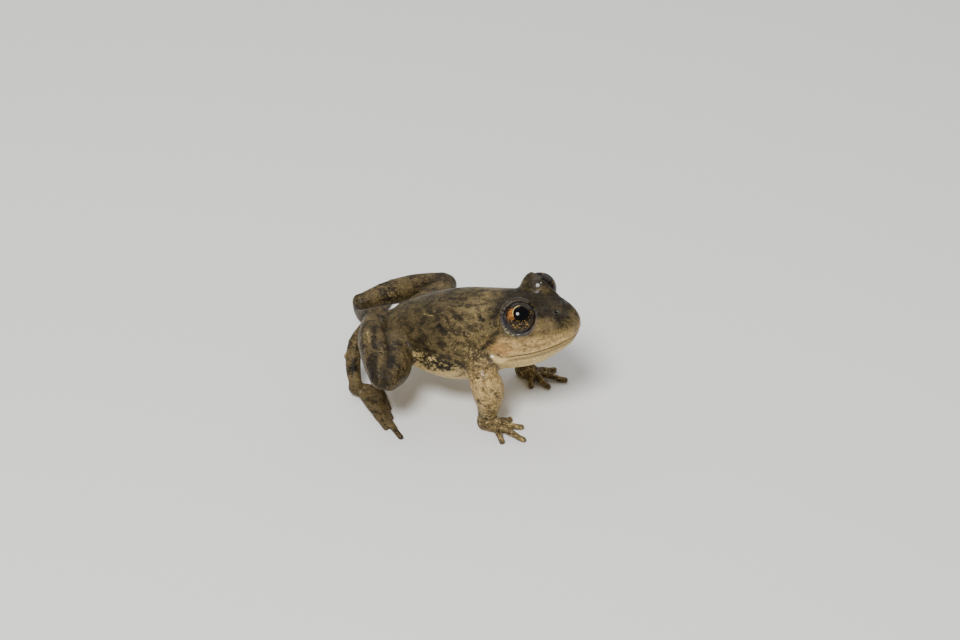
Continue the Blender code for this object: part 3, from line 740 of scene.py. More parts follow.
def fine_places(points):
    """True for points close to the mouth, a lid's edge or a nostril, where the skin's detail is fine."""
    near = np.abs(points[:, 2] - mouth_height(points[:, 0])) < MOUTH_FINE
    near &= (points[:, 0] > FINE_FROM) & (on_head(points) > 0.5)
    for side in BOTH:
        near |= np.linalg.norm(points - on_side(NOSTRIL, side), axis=1) < NOSTRIL_FINE
    return near | lid_edges(points, LID_FINE)


def build_skin_mesh(name, step):
    """The skin's mesh and its points in millimetres, before the fine relief.

    Three rounds halve its step: on the head, then at mouth, nostrils and lids, then on the lids' edges.
    """
    points, faces = level_surface(skin_distance, *SKIN_BOX, step)
    mesh = bpy.data.meshes.new(name)
    mesh.from_pydata(points.tolist(), [], faces.tolist())
    mesh.update()
    for _round in range(2):
        points = relaxed(points, edge_ends(mesh), 0.5)
    points = settle(points, 2)
    rounds = ((lambda p: on_head(p) > 0.5, fine_places, lid_edges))
    for choose in rounds:
        mesh.vertices.foreach_set("co", points.ravel())
        split_where(mesh, choose(points))
        points = relaxed(coordinates(mesh), edge_ends(mesh), 0.3)
        points = settle(points, 2)
    return mesh, points


def weights_of(points):
    """How much each point belongs to the trunk and to each named form, and where it is along that form."""
    names = ["trunk"] + sorted({name for name, _form in LIMB_FORMS})
    nearest = {name: np.full(len(points), OUT_OF_REACH) for name in names}
    shares = {name: np.zeros(len(points)) for name in names}
    nearest["trunk"] = trunk_distance(points)
    for name, form in LIMB_FORMS:
        distance, share = form.distance(points, with_share=True)
        shares[name] = np.where(distance < nearest[name], share, shares[name])
        nearest[name] = np.minimum(nearest[name], distance)
    closeness = {name: np.exp(-np.maximum(nearest[name], 0.0) / COLOUR_REACH) for name in names}
    whole = sum(closeness.values())
    return {name: closeness[name] / whole for name in names}, shares


def of_kind(weights, *kinds):
    """The summed weight of the forms whose names start with one of the kinds."""
    return sum(value for name, value in weights.items() if name.startswith(kinds))


def rod_masks(points, marks):
    """The strongest of a list of soft rods at each point."""
    mask = np.zeros(len(points))
    for first, last, radius, strength, sides in marks:
        for side in sides:
            start = on_side(first, side)
            way = on_side(last, side) - start
            low = np.minimum(start, start + way) - MARK_FADE * radius
            high = np.maximum(start, start + way) + MARK_FADE * radius
            near = np.where(np.all((points > low) & (points < high), axis=1))[0]
            out = points[near] - start
            t = np.clip(out @ way / (way @ way), 0.0, 1.0)
            away = np.linalg.norm(out - t[:, None] * way, axis=1) / radius
            mask[near] = np.maximum(mask[near], strength * smoothstep(MARK_FADE, 0.0, away))
    return mask


def soft_spot(points, place, full, none, stretch=(1.0, 1.0, 1.0)):
    """A round spot on both sides, 1 within full of a place and 0 past none."""
    spot = np.zeros(len(points))
    for side in BOTH:
        away = np.linalg.norm((points - on_side(place, side)) * stretch, axis=1)
        spot = np.maximum(spot, smoothstep(none, full, away))
    return spot


def lid_masks(points):
    """The dark rim of the lids, strongest low and to the rear, and the place of its pale flecks."""
    x, _y, z = points.T
    rim = np.zeros(len(points))
    fleck = np.zeros(len(points))
    for side in BOTH:
        along, _across, from_centre = round_eye(points, side)
        low_rear = -((x - EYE_CENTRE[0]) * 0.55 + (z - EYE_CENTRE[2]) * 0.85) / LID_CUP
        ring = smoothstep(0.45, 0.8, along)
        strength = 0.3 + 0.7 * smoothstep(-0.8, 0.3, low_rear)
        rim = np.maximum(rim, ring * smoothstep(2.95, 2.72, from_centre) * strength)
        low = smoothstep(EYE_CENTRE[2] - 0.3, EYE_CENTRE[2] - 1.6, z) * smoothstep(25.2, 23.4, x)
        fleck = np.maximum(fleck, ring * smoothstep(3.3, 2.9, from_centre) * low)
    return rim, fleck


def limb_bars(weights, shares):
    """Soft bars across the limbs: a sine wave of the place along each form, times the form's weight."""
    bars = np.zeros(len(weights["trunk"]))
    for kind, (count, shift) in BARS.items():
        for name, value in weights.items():
            if name.startswith(kind):
                wave = 0.5 + 0.5 * np.sin(2.0 * np.pi * (count * shares[name] + shift))
                bars = np.maximum(bars, value * wave)
    return bars


def skin_paint(points, normals):
    """The skin's painted masks, each from 0 to 1, from where a point is on the animal.

    tan, pale, warm and shoulder are grounds besides the back's. One mask is painted shade on the crown, the
    rump and the creases, and another painted shade under the upper lip. limbs, bars, feet, flank and marbled
    choose patterns, dark and light are single marks, two dark ones being painted shade at the near knee, lip
    follows the mouth, rim and rim_fleck the lids, and wet is where the skin shines.
    """
    x, _y, z = points.T
    facing_up = normals[:, 2]
    weights, shares = weights_of(points)
    trunk = weights["trunk"]
    arms = of_kind(weights, "forearm", "hand")
    upper_arms = of_kind(weights, "upper_arm")
    limbs = of_kind(weights, "thigh", "shank", "tarsus", "foot", "web")
    thighs, shanks, tarsi = (of_kind(weights, kind) for kind in ("thigh", "shank", "tarsus"))

    belly = smoothstep(1.0, -0.6, z - np.interp(x, *BELLY_LINE)) * smoothstep(20.0, 18.5, x) * trunk
    flank = smoothstep(0.5, -0.9, z - np.interp(x, *FLANK_LINE)) * smoothstep(19.0, 17.5, x) * trunk
    flank = flank * (1.0 - belly)
    face = smoothstep(19.6, 21.6, x) * trunk
    height = z - mouth_height(x)
    jaw = smoothstep(0.7, -0.9, height) * face
    cheek = np.interp(x, *CHEEK_LINE)
    lips = smoothstep(22.6, 24.0, x) * on_head(points)

    tan = smoothstep(cheek + 1.3, cheek - 1.5, height) * face
    snout = smoothstep(24.5, 27.0, x) * smoothstep(30.4, 28.6, x) * face
    tan = np.maximum(tan, 0.4 * smoothstep(cheek + 4.2, cheek + 1.2, height) * snout)
    tan = np.maximum(tan, arms * (0.42 + 0.58 * smoothstep(2.5, 6.5, z)) + upper_arms * 0.35)

    under = smoothstep(0.15, -0.65, facing_up)
    throat = under * (1.0 - face * smoothstep(-0.4, 0.3, height))
    pale = np.maximum.reduce([jaw * 0.95, belly * 0.72, flank * 0.1, trunk * throat * 0.8])
    pale = np.maximum(pale, arms * (0.42 * smoothstep(5.5, 7.5, z) + 0.5 * under))
    pale = np.maximum(pale, limbs * smoothstep(-0.35, -0.9, facing_up) * 0.6)

    # Painted shade: the up-facing crown, the rump and the creases between thighs, shanks and tarsi are
    # darkened.
    crown = smoothstep(17.5, 21.0, x) * smoothstep(31.5, 29.5, x) * smoothstep(0.3, 0.85, facing_up) * trunk
    rear = smoothstep(17.0, 11.0, x) * trunk * smoothstep(-0.4, 0.3, facing_up)
    crease = np.clip(thighs * (shanks * 4.0 + trunk * 2.0) + 3.0 * shanks * tarsi, 0.0, 1.0)
    rim, rim_fleck = lid_masks(points)
    wet = [soft_spot(points, place, 0.4 * radius, radius) for place, radius in WET_PLACES]
    return {
        "pale": pale,
        "tan": np.clip(tan, 0.0, 1.0),
        "rim": rim,
        "rim_fleck": rim_fleck,
        "bars": limb_bars(weights, shares),
        "dark": rod_masks(points, DARK_MARKS_AND_SHADE),
        "light": rod_masks(points, PALE_MARKS),
        "lip": ridge(height, 0.32, 0.24) * lips,
        # Painted shade under the overhang of the upper lip.
        "painted_shade_below_lip": ridge(height, -0.5, 0.45) * lips,
        "painted_shade": np.clip(np.maximum.reduce([crown * 0.84, rear * 0.5, crease * 0.75]), 0.0, 1.0),
        "marbled": np.clip(upper_arms + arms * (0.55 + 0.45 * smoothstep(5.0, 2.5, z)), 0.0, 1.0),
        "warm": soft_spot(points, WARM_PLACE, 0.3, 1.5, WARM_STRETCH),
        "limbs": limbs,
        "feet": of_kind(weights, "foot", "web", "hand"),
        "shoulder": upper_arms,
        "flank": flank,
        "wet": np.maximum.reduce([0.5 * rim, *wet]),
    }


class Value:
    """A number socket of a node tree, on which sums and products add Math nodes."""

    def __init__(self, tree, socket):
        self.tree = tree
        self.socket = socket

    def math(self, operation, *others):
        """Adds a Math node whose first input is this value."""
        node = self.tree.nodes.new("ShaderNodeMath")
        node.operation = operation
        for i, item in enumerate((self, *others)):
            if isinstance(item, Value):
                self.tree.links.new(item.socket, node.inputs[i])
            else:
                node.inputs[i].default_value = item
        return Value(self.tree, node.outputs[0])

    def __add__(self, other):
        return self.math("ADD", other)

    def __sub__(self, other):
        return self.math("SUBTRACT", other)

    def __rsub__(self, other):
        return (self * -1.0).math("ADD", other)

    def __mul__(self, other):
        return self.math("MULTIPLY", other)

    def __truediv__(self, other):
        return self.math("DIVIDE", other)

    __radd__ = __add__
    __rmul__ = __mul__

    def most(self, other):
        """The greater of this value and another."""
        return self.math("MAXIMUM", other)

    def least(self, other):
        """The lesser of this value and another."""
        return self.math("MINIMUM", other)

    def step(self, low, high):
        """0 at low and 1 at high, with an eased rise between them."""
        node = self.tree.nodes.new("ShaderNodeMapRange")
        node.interpolation_type = "SMOOTHSTEP"
        self.tree.links.new(self.socket, node.inputs["Value"])
        node.inputs["From Min"].default_value = low
        node.inputs["From Max"].default_value = high
        return Value(self.tree, node.outputs[0])


class Finish:
    """A material with one Principled shader, and the means to add nodes to it."""

    def __init__(self, name):
        self.material = bpy.data.materials.new(name)
        self.material.use_nodes = True
        self.tree = self.material.node_tree
        self.shader = self.tree.nodes["Principled BSDF"]

    def node(self, kind, settings=None, values=None, output=0):
        """Adds a node of a kind, makes its settings, fills or links its sockets, and gives one output."""
        made = self.tree.nodes.new(kind)
        for key, value in (settings or {}).items():
            setattr(made, key, value)
        for key, value in (values or {}).items():
            self.fill(made.inputs[key], value)
        return Value(self.tree, made.outputs[output])

    def fill(self, socket, value):
        """Links a socket to a value, or sets its number, colour or vector."""
        if isinstance(value, Value):
            self.tree.links.new(value.socket, socket)
        elif socket.type == "RGBA":
            socket.default_value = (*value[:3], 1.0)
        else:
            socket.default_value = value

    def mask(self, name):
        """A painted mask of the piece."""
        return self.node("ShaderNodeAttribute", {"attribute_name": name}, output=2)

    def noise(self, place, scale, detail=3.0, roughness=0.55, distortion=0.0):
        """Noise from 0 to 1 whose grains are about one over scale wide."""
        values = {"Vector": place, "Scale": scale, "Detail": detail, "Roughness": roughness}
        return self.node("ShaderNodeTexNoise", None, {**values, "Distortion": distortion})

    def mix(self, share, first, second):
        """The first colour where share is 0, and the second where it is 1."""
        return self.node("ShaderNodeMix", {"data_type": "RGBA"}, {0: share, 6: first, 7: second}, output=2)

    def set(self, **values):
        """Fills sockets of the shader, named with _ for each space."""
        for key, value in values.items():
            self.fill(self.shader.inputs[key.replace("_", " ")], value)


def skin_finish(looks):
    """Moist skin: mottled brown above, tan on face and arms, cream below, blotched limbs, fine granules, with
    painted shade on the crown, the rump, the creases, under the upper lip and at the near knee.
    """
    skin = Finish("moist_mottled_skin")
    place = skin.node("ShaderNodeTexCoord", output=3)
    place = skin.node("ShaderNodeVectorMath", {"operation": "SCALE"}, {0: place, "Scale": 1.0 / MM})
    long_place = skin.node("ShaderNodeVectorMath", {"operation": "MULTIPLY"}, {0: place, 1: (0.68, 1.0, 1.0)})
    broad = skin.noise(place, 0.42, 3.0, 0.6, 0.6)
    middle = skin.noise(long_place, 1.0, 4.0, 0.64, 0.5)
    marble = skin.noise(long_place, 1.9, 4.0, 0.7, 0.9)
    fine = skin.noise(long_place, 3.6, 3.0, 0.64, 0.2)
    grain = skin.noise(place, 9.0, 2.0, 0.6)
    ragged = (middle - 0.5) * 0.8 + (marble - 0.5) * 0.5 + (fine - 0.5) * 0.5
    gaps = (1.0 - marble) * 0.5 + fine * 0.5
    pale, tan, dark, light = (skin.mask(name) for name in ("pale", "tan", "dark", "light"))
    limbs, flank, marbled, painted_shade = (skin.mask(name) for name in ("limbs", "flank", "marbled", "painted_shade"))
    shoulder, wet = skin.mask("shoulder"), skin.mask("wet")

    back = (middle * 0.5 + broad * 0.25 + marble * 0.25).step(0.42, 0.58)
    colour = skin.mix(back, looks.back_dark, looks.back_light)
    colour = skin.mix((marble * 0.7 + fine * 0.3).step(0.53, 0.61) * 0.75, colour, looks.blotch_and_shade)
    colour = skin.mix((gaps - painted_shade * 0.04).step(0.53, 0.6) * 0.7, colour, looks.fleck)
    limb_share = skin.mask("bars") * 0.12 + middle * 0.5 + marble * 0.4 + (fine - 0.5) * 0.5
    limb_colour = skin.mix(limb_share.step(0.44, 0.62), looks.limb_light, looks.limb_dark)
    limb_colour = skin.mix(gaps.step(0.54, 0.61) * 0.6, limb_colour, looks.fleck)
    colour = skin.mix(limbs, colour, limb_colour)
    # Painted shade on the crown, the rump and the creases.
    colour = skin.mix(painted_shade, colour, looks.blotch_and_shade)
    colour = skin.mix(shoulder * 0.6, colour, looks.shoulder)

    tan_share = (tan + ragged * 0.6).step(0.2, 0.85) * (1.0 - limbs)
    mottling = (fine * 0.3 + marble * 0.35 + middle * 0.35).step(0.43, 0.59)
    tan_colour = skin.mix(mottling, looks.tan, looks.tan_dark_and_shade)
    tan_colour = skin.mix((broad * 0.4 + middle * 0.6).step(0.47, 0.6) * 0.5, tan_colour, looks.tan_dark_and_shade)
    colour = skin.mix(tan_share, colour, tan_colour)
    colour = skin.mix(skin.mask("warm") * (0.12 + fine.step(0.4, 0.6) * 0.5), colour, looks.orange)

    colour = skin.mix(flank * 0.5, colour, looks.blotch_and_shade)
    stain = (marble * 0.45 + fine * 0.3 + grain * 0.25).step(0.46, 0.57) * 0.75
    cream = skin.mix(stain, looks.cream, looks.tan)
    colour = skin.mix((pale + ragged * 0.75).step(0.25, 0.8), colour, cream)
    patches = (middle * 0.4 + fine * 0.6).step(0.51, 0.57)
    spots = (1.0 - middle * 0.6 - fine * 0.4).step(0.51, 0.57)
    flank_pale = skin.mix(0.45, looks.cream, looks.fleck)
    colour = skin.mix(patches * flank * 0.6, colour, flank_pale)
    light_share = (light + ragged * 1.4).step(0.42, 0.8) * light.step(0.02, 0.3)
    colour = skin.mix(light_share * 0.7, colour, flank_pale)
    colour = skin.mix(spots * flank * 0.8, colour, looks.blotch_and_shade)

    veins = (marble * 0.6 + fine * 0.4).step(0.49, 0.57)
    colour = skin.mix(veins * marbled * 0.85, colour, looks.arm_dark)
    colour = skin.mix(gaps.step(0.52, 0.58) * marbled * (0.65 - shoulder * 0.35), colour, looks.cream)
    colour = skin.mix(skin.mask("feet") * fine.step(0.48, 0.6) * 0.45, colour, looks.limb_dark)
    # Dark marks of the skin, and the painted shade in the gaps at the near knee.
    dark_and_shade_share = (dark + ragged * 1.2).step(0.3, 0.8) * dark.step(0.02, 0.3)
    colour = skin.mix(dark_and_shade_share * (0.68 + fine.step(0.38, 0.56) * 0.27), colour, looks.blotch_and_shade)
    colour = skin.mix(skin.mask("lip") * 0.4, colour, looks.cream)
    # Painted shade in a band under the line of the mouth, beneath the upper lip.
    colour = skin.mix(skin.mask("painted_shade_below_lip") * (0.4 + fine * 0.7), colour, looks.tan_dark_and_shade)
    colour = skin.mix(skin.mask("rim") * (0.62 + fine.step(0.4, 0.6) * 0.36), colour, looks.rim)
    colour = skin.mix(skin.mask("rim_fleck") * fine.step(0.5, 0.57) * 0.85, colour, looks.rim_fleck)
    shade = skin.mix(grain.step(0.34, 0.68), (0.6, 0.58, 0.55), (1.35, 1.35, 1.35))
    multiply = {"data_type": "RGBA", "blend_type": "MULTIPLY"}
    colour = skin.node("ShaderNodeMix", multiply, {0: 1.0, 6: colour, 7: shade}, 2)

    granules = skin.node(
        "ShaderNodeTexVoronoi", {"feature": "SMOOTH_F1"}, {"Vector": place, "Scale": 2.6, "Smoothness": 0.35}
    )
    height = ((1.0 - granules) * 0.8 + fine * 0.5 + grain * 0.3) * (1.0 - wet * 0.8)
    bump = skin.node("ShaderNodeBump", None, {"Strength": 0.8, "Distance": 0.00012, "Height": height})
    skin.set(
        Base_Color=colour,
        Roughness=0.5 + (fine - 0.5) * 0.3,
        Normal=bump,
        Coat_Weight=0.06 + broad.step(0.45, 0.65) * 0.16 + wet * 0.9,
        Coat_Roughness=0.11,
        Coat_IOR=1.36,
        Specular_IOR_Level=0.12,
    )
    return skin.material


def eye_finish(looks):
    """A black pupil in a dark iris with copper and gold flecks, under a clear wet coat."""
    eye = Finish("wet_eye")
    place = eye.node("ShaderNodeAttribute", {"attribute_name": "eye_place"}, output=1)
    forward, upward, facing = (eye.node("ShaderNodeSeparateXYZ", None, {0: place}, i) for i in range(3))
    across = (forward - PUPIL_CENTRE[0]) / looks.pupil_width
    rise = (upward - PUPIL_CENTRE[1]) / looks.pupil_height
    pupil_reach = (across * across + rise * rise).math("SQRT")
    iris_reach = (forward * forward + upward * upward).math("SQRT")
    front = facing.step(0.0, 0.1)
    outwards = [part / iris_reach.most(0.05) * 4.0 for part in (forward, upward)]
    radial = eye.node("ShaderNodeCombineXYZ", None, {0: outwards[0], 1: outwards[1], 2: iris_reach * 6.0})
    streaks = eye.noise(radial, 1.4, 3.0, 0.6, 0.5)
    flecks = eye.noise(place, 5.5, 3.0, 0.6, 1.4)
    net_fine = eye.noise(place, 15.0, 2.0, 0.6, 0.8)

    rear_up = (forward * -1.0).step(0.28, 0.55) * upward.step(-0.22, 0.08) * (1.0 - upward.step(0.42, 0.62))
    low = (upward * -1.0).step(0.1, 0.5)
    front_up = (upward * 0.7 + forward * 0.7).step(0.1, 0.5)
    net = flecks * 0.55 + streaks * 0.45
    gold = (net + low * 0.06 + front_up * 0.02).step(0.54, 0.62)
    # The gold flecks' strength varies at random, and is painted darker towards the front and the top of the
    # iris: painted shade.
    lit = (0.25 + net_fine.step(0.45, 0.6) * 0.75) * (1.0 - front_up * 0.45)
    lit = lit * (1.0 - upward.step(0.3, 0.5) * 0.9)
    colour = eye.mix(gold * lit, looks.iris_dark, looks.iris_gold)
    copper = rear_up * (net + 0.06).step(0.46, 0.58)
    colour = eye.mix(copper * 0.95, colour, looks.iris_copper)
    colour = eye.mix(rear_up * net_fine.step(0.54, 0.62) * 0.7, colour, looks.iris_gold)
    colour = eye.mix(rear_up * (1.0 - net_fine).step(0.54, 0.62) * 0.75, colour, looks.iris_dark)
    colour = eye.mix(iris_reach.step(0.66, 0.8) * 0.92, colour, looks.iris_dark)
    ring = pupil_reach.step(1.0, 1.04) * (1.0 - pupil_reach.step(1.07, 1.13))
    upper_arc = (upward * 0.5 - forward * 0.87).step(0.26, 0.46) * upward.step(0.0, 0.25)
    upper_arc = upper_arc.most(upward.step(0.42, 0.58) * 0.07)
    ring_strength = (upper_arc + low * flecks.step(0.56, 0.62) * 0.8).least(1.0)
    colour = eye.mix(ring * ring_strength, colour, looks.iris_ring)
    outside = iris_reach.step(0.84, 0.9)
    lower_rear = (upward * -0.8 - forward * 0.5).step(0.1, 0.7)
    edge_colour = eye.mix(lower_rear, looks.eye_rim, looks.eye_edge_light)
    colour = eye.mix(outside, colour, edge_colour)
    pupil = (1.0 - pupil_reach.step(0.96, 1.02)) * front
    colour = eye.mix(pupil, colour, (0.0006, 0.0006, 0.001))
    height = gold * 0.6 + streaks * 0.6
    bump = eye.node("ShaderNodeBump", None, {"Strength": 0.35, "Distance": 0.00008, "Height": height})
    eye.set(Base_Color=colour, Roughness=0.5, Normal=bump, Specular_IOR_Level=0.0)
    eye.set(Coat_Weight=1.0, Coat_Roughness=0.02, Coat_IOR=1.3)
    return eye.material


def add_object(name, mesh, material):
    """Links a mesh to the scene as a finished piece."""
    mesh.materials.append(material)
    mesh.shade_smooth()
    made = bpy.data.objects.new(name, mesh)
    bpy.context.scene.collection.objects.link(made)
    return made


def to_frame(points):
    """Points in millimetres from the rump datum, as metres from the frame's origin."""
    return (points - np.array((*CENTRE, 0.0))) * MM


def eye_surface(side, radius):
    """An eyeball: a sphere about its look, with a low bell added to its radius for the cornea.

    A point at turn a and lean b from the look is the centre + R (1 + CORNEA_RISE exp(-(b / CORNEA_LEAN)^2))
    times (cos b along the look + sin b across it at turn a). The first and last points are the poles.
    """
    axis = on_side(unit(EYE_LOOK), side)
    upward = unit(np.array((0.0, 0.0, 1.0)) - axis * axis[2])
    forward = np.cross(upward, axis)
    forward = forward * np.sign(forward[0])
    leans = (np.arange(EYE_RINGS) + 0.5) * math.pi / EYE_RINGS
    turns = np.arange(EYE_SEGMENTS) * 2.0 * math.pi / EYE_SEGMENTS
    b, a = (grid.ravel() for grid in np.meshgrid(leans, turns, indexing="ij"))
    b = np.concatenate([[0.0], b, [math.pi]])
    a = np.concatenate([[0.0], a, [0.0]])
    ways = np.column_stack([np.sin(b) * np.cos(a), np.sin(b) * np.sin(a), np.cos(b)])
    reach = radius * (1.0 + CORNEA_RISE * np.exp(-((b / CORNEA_LEAN) ** 2)))
    world = ways @ np.array([forward, upward, axis])
    return on_side(EYE_CENTRE, side) + world * reach[:, None], ways


def sphere_faces(rings, segments):
    """The faces of a sphere whose first and last vertices are its poles."""
    index = 1 + np.arange(rings * segments).reshape(rings, segments)
    following = np.roll(index, -1, axis=1)
    quads = np.stack([index[1:], following[1:], following[:-1], index[:-1]], axis=-1).reshape(-1, 4)
    first = np.column_stack([np.zeros(segments, int), index[0], following[0]])
    last = np.column_stack([np.full(segments, 1 + rings * segments), following[-1], index[-1]])
    return quads.tolist() + first.tolist() + last.tolist()


def way_to(azimuth, elevation):
    """The way from the animal to a light or a lens, from angles in degrees."""
    a, e = math.radians(azimuth), math.radians(elevation)
    return Vector((math.sin(a) * math.cos(e), -math.cos(a) * math.cos(e), math.sin(e)))


def place_facing(name, data, aim, way, distance):
    """Links a light or a lens to the scene, at a distance in metres from its aim and turned to it."""
    made = bpy.data.objects.new(name, data)
    made.location = aim + way * distance
    made.rotation_euler = way.to_track_quat("Z", "Y").to_euler()
    bpy.context.scene.collection.objects.link(made)
    return made


def colour_setting(name, description, *default):
    """A colour that the panel shows, as linear red, green and blue."""
    return bpy.props.FloatVectorProperty(
        name=name, description=description, default=default, subtype="COLOR", min=0.0, max=1.0
    )


class FrogSkinSettings(bpy.types.PropertyGroup):
    """Sizes and colours of the skin."""

    mesh_step: bpy.props.FloatProperty(
        name="Mesh step", description="Width of the skin's faces on the body", default=0.0003,
        min=0.0001, unit="LENGTH", precision=5,
    )
    back_dark: colour_setting("Back, dark", "Darker ground colour of the back", 0.03, 0.0215, 0.0095)
    back_light: colour_setting("Back, light", "Lighter ground colour of the back", 0.155, 0.112, 0.045)
    # Also the colour of the painted shade on the crown, the rump, the creases and at the near knee.
    blotch_and_shade: colour_setting("Blotch", "Colour of the dark blotches and lines", 0.0075, 0.0055, 0.003)
    fleck: colour_setting("Fleck", "Colour of the small light flecks", 0.27, 0.195, 0.085)
    limb_light: colour_setting("Limb, light", "Pale bars of the limbs", 0.094, 0.066, 0.028)
    limb_dark: colour_setting("Limb, dark", "Dark bars of the limbs", 0.021, 0.015, 0.0075)
    tan: colour_setting("Tan", "Ground colour of the face and arms", 0.46, 0.31, 0.125)
    # Also the colour of the painted shade under the upper lip.
    tan_dark_and_shade: colour_setting("Tan, dark", "Mottling of the face and arms", 0.17, 0.112, 0.046)
    orange: colour_setting("Orange", "Warm tint behind the mouth", 0.4, 0.19, 0.055)
    cream: colour_setting("Cream", "Colour of the throat, belly and lower flanks", 0.72, 0.54, 0.23)
    rim: colour_setting("Lid rim", "Purplish grey of the lids' inner edge", 0.044, 0.038, 0.044)
    rim_fleck: colour_setting("Lid flecks", "Pale flecks on the lower lid", 0.38, 0.35, 0.15)
    arm_dark: colour_setting("Arm, dark", "Dark marbling of the arms", 0.036, 0.025, 0.012)
    shoulder: colour_setting("Shoulder", "Purplish brown of the upper arms", 0.085, 0.057, 0.032)


class FrogEyeSettings(bpy.types.PropertyGroup):
    """Sizes and colours of the eyes."""

    radius: bpy.props.FloatProperty(
        name="Radius", description="Radius of the eyeball", default=0.00245,
        min=0.001, unit="LENGTH", precision=5,
    )
    pupil_width: bpy.props.FloatProperty(
        name="Pupil half-width", description="Pupil's half-width, over the eye's radius", default=0.46,
        min=0.1, max=0.8, subtype="FACTOR",
    )
    pupil_height: bpy.props.FloatProperty(
        name="Pupil half-height", description="Pupil's half-height, over the eye's radius", default=0.42,
        min=0.1, max=0.8, subtype="FACTOR",
    )
    iris_dark: colour_setting("Iris, dark", "Dark net of the iris", 0.007, 0.0035, 0.002)
    iris_gold: colour_setting("Iris, gold", "Gold flecks of the iris", 0.5, 0.3, 0.06)
    iris_copper: colour_setting(
        "Iris, copper", "Copper part of the iris, up and to the rear", 0.31, 0.105, 0.024
    )
    iris_ring: colour_setting("Pupil ring", "Thin gold ring round the pupil", 0.62, 0.42, 0.13)
    eye_rim: colour_setting("Eye edge", "Dark edge of the eye beyond the iris", 0.006, 0.005, 0.007)
    eye_edge_light: colour_setting(
        "Eye edge, light", "Purplish grey of the eye's edge, low and to the rear", 0.034, 0.031, 0.037
    )


class FrogStageSettings(bpy.types.PropertyGroup):
    """The floor, lights and lens."""

    floor: colour_setting("Floor", "Colour of the floor", 0.72, 0.72, 0.7)
    key_power: bpy.props.FloatProperty(
        name="Key light", description="Power of the small soft light over the viewer's shoulder", default=4.0,
        min=0.0, unit="POWER",
    )
    fill_power: bpy.props.FloatProperty(
        name="Fill light", description="Power of each large soft light", default=2.6, min=0.0, unit="POWER",
    )
    lens: bpy.props.FloatProperty(
        name="Lens", description="Focal length of the camera, in millimetres", default=100.0, min=20.0,
        unit="CAMERA",
    )


class FROG_OT_skin(bpy.types.Operator):
    """Builds the skin that stands for every flesh part of the frame"""

    bl_idname = "frog.skin"
    bl_label = "Build skin"

    def execute(self, context):
        looks = context.scene.frog_skin
        step = looks.mesh_step / MM * 1.0
        mesh, points = build_skin_mesh("skin", step)
        values = skin_distance(points)
        normals = slope_of(skin_distance, points, values)
        normals /= np.maximum(np.linalg.norm(normals, axis=1), 1e-6)[:, None]
        relief = mouth_relief(points) + wart_relief(points)
        off_floor = smoothstep(0.0, 0.4, points[:, 2])
        points = points + normals * (relief * off_floor)[:, None]
        for name, values in skin_paint(points, normals).items():
            mesh.attributes.new(name, "FLOAT", "POINT").data.foreach_set("value", values.astype(np.float32))
        mesh.vertices.foreach_set("co", to_frame(points).ravel())
        mesh.update()
        skin = add_object("frog_skin", mesh, skin_finish(looks))
        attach(skin, "root")
        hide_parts(*[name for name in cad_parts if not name.startswith("eye")])
        return {"FINISHED"}


class FROG_OT_eyes(bpy.types.Operator):
    """Builds the two eyeballs"""

    bl_idname = "frog.eyes"
    bl_label = "Build eyes"

    def execute(self, context):
        looks = context.scene.frog_eyes
        finish = eye_finish(looks)
        for name, side in (("R", -1), ("L", 1)):
            points, ways = eye_surface(side, looks.radius / MM)
            mesh = bpy.data.meshes.new("eyeball_" + name)
            mesh.from_pydata(to_frame(points).tolist(), [], sphere_faces(EYE_RINGS, EYE_SEGMENTS))
            mesh.attributes.new("eye_place", "FLOAT_VECTOR", "POINT").data.foreach_set("vector", ways.ravel())
            work = bmesh.new()
            work.from_mesh(mesh)
            bmesh.ops.recalc_face_normals(work, faces=work.faces)
            work.to_mesh(mesh)
            work.free()
            ball = add_object("eyeball_" + name, mesh, finish)
            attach(ball, "root")
            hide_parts("eye_" + name)
        return {"FINISHED"}


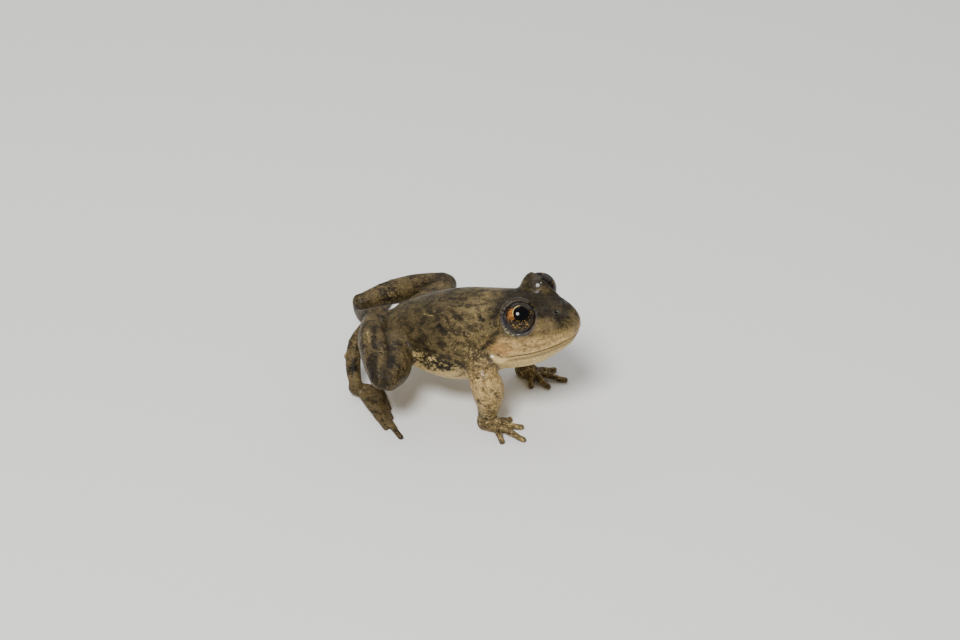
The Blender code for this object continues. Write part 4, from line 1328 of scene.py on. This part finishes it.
class FROG_OT_stage(bpy.types.Operator):
    """Sets the floor, the lights and the camera"""

    bl_idname = "frog.stage"
    bl_label = "Set the stage"

    def execute(self, context):
        looks = context.scene.frog_stage
        scene = context.scene
        mesh = bpy.data.meshes.new("floor")
        corners = [(x * FLOOR_REACH, y * FLOOR_REACH, 0.0) for x, y in ((-1, -1), (1, -1), (1, 1), (-1, 1))]
        mesh.from_pydata(corners, [], [(0, 1, 2, 3)])
        paper = Finish("pale_floor")
        paper.set(Base_Color=tuple(looks.floor), Roughness=0.85)
        floor = add_object("floor", mesh, paper.material)

        aim = Vector(to_frame(np.array(AIM)))
        for name, (azimuth, elevation, distance, width, share) in LIGHTS.items():
            light = bpy.data.lights.new(name, "AREA")
            light.shape = "DISK"
            light.size = width
            light.energy = (looks.key_power if name == "key" else looks.fill_power) * share
            place_facing(name, light, aim, way_to(azimuth, elevation), distance)

        world = bpy.data.worlds.new("studio")
        world.use_nodes = True
        background = world.node_tree.nodes["Background"]
        background.inputs["Color"].default_value = WALL_COLOUR
        background.inputs["Strength"].default_value = WALL_STRENGTH
        scene.world = world

        lens = bpy.data.cameras.new("camera")
        lens.lens = looks.lens
        lens.sensor_width = SENSOR_WIDTH
        azimuth, elevation, distance = CAMERA
        scene.camera = place_facing("camera", lens, aim, way_to(azimuth, elevation), distance * MM)
        return {"FINISHED"}


class FROG_PT_panel(bpy.types.Panel):
    """Lists the frog's settings and steps"""

    bl_idname = "FROG_PT_panel"
    bl_label = "Somuncura frog"
    bl_space_type = "VIEW_3D"
    bl_region_type = "UI"
    bl_category = "Frog"

    def draw(self, context):
        for part in ("skin", "eyes", "stage"):
            group = getattr(context.scene, "frog_" + part)
            box = self.layout.box()
            for key in group.__annotations__:
                box.prop(group, key)
            box.operator("frog." + part)


SETTINGS = {"frog_skin": FrogSkinSettings, "frog_eyes": FrogEyeSettings, "frog_stage": FrogStageSettings}
CLASSES = (*SETTINGS.values(), FROG_OT_skin, FROG_OT_eyes, FROG_OT_stage, FROG_PT_panel)


def register():
    for each in CLASSES:
        bpy.utils.register_class(each)
    for name, group in SETTINGS.items():
        setattr(bpy.types.Scene, name, bpy.props.PointerProperty(type=group))


def unregister():
    for name in SETTINGS:
        delattr(bpy.types.Scene, name)
    for each in reversed(CLASSES):
        bpy.utils.unregister_class(each)


def main():
    """Builds the whole frog on its stage."""
    register()
    bpy.ops.frog.skin()
    bpy.ops.frog.eyes()
    bpy.ops.frog.stage()


if __name__ == "__main__":
    main()
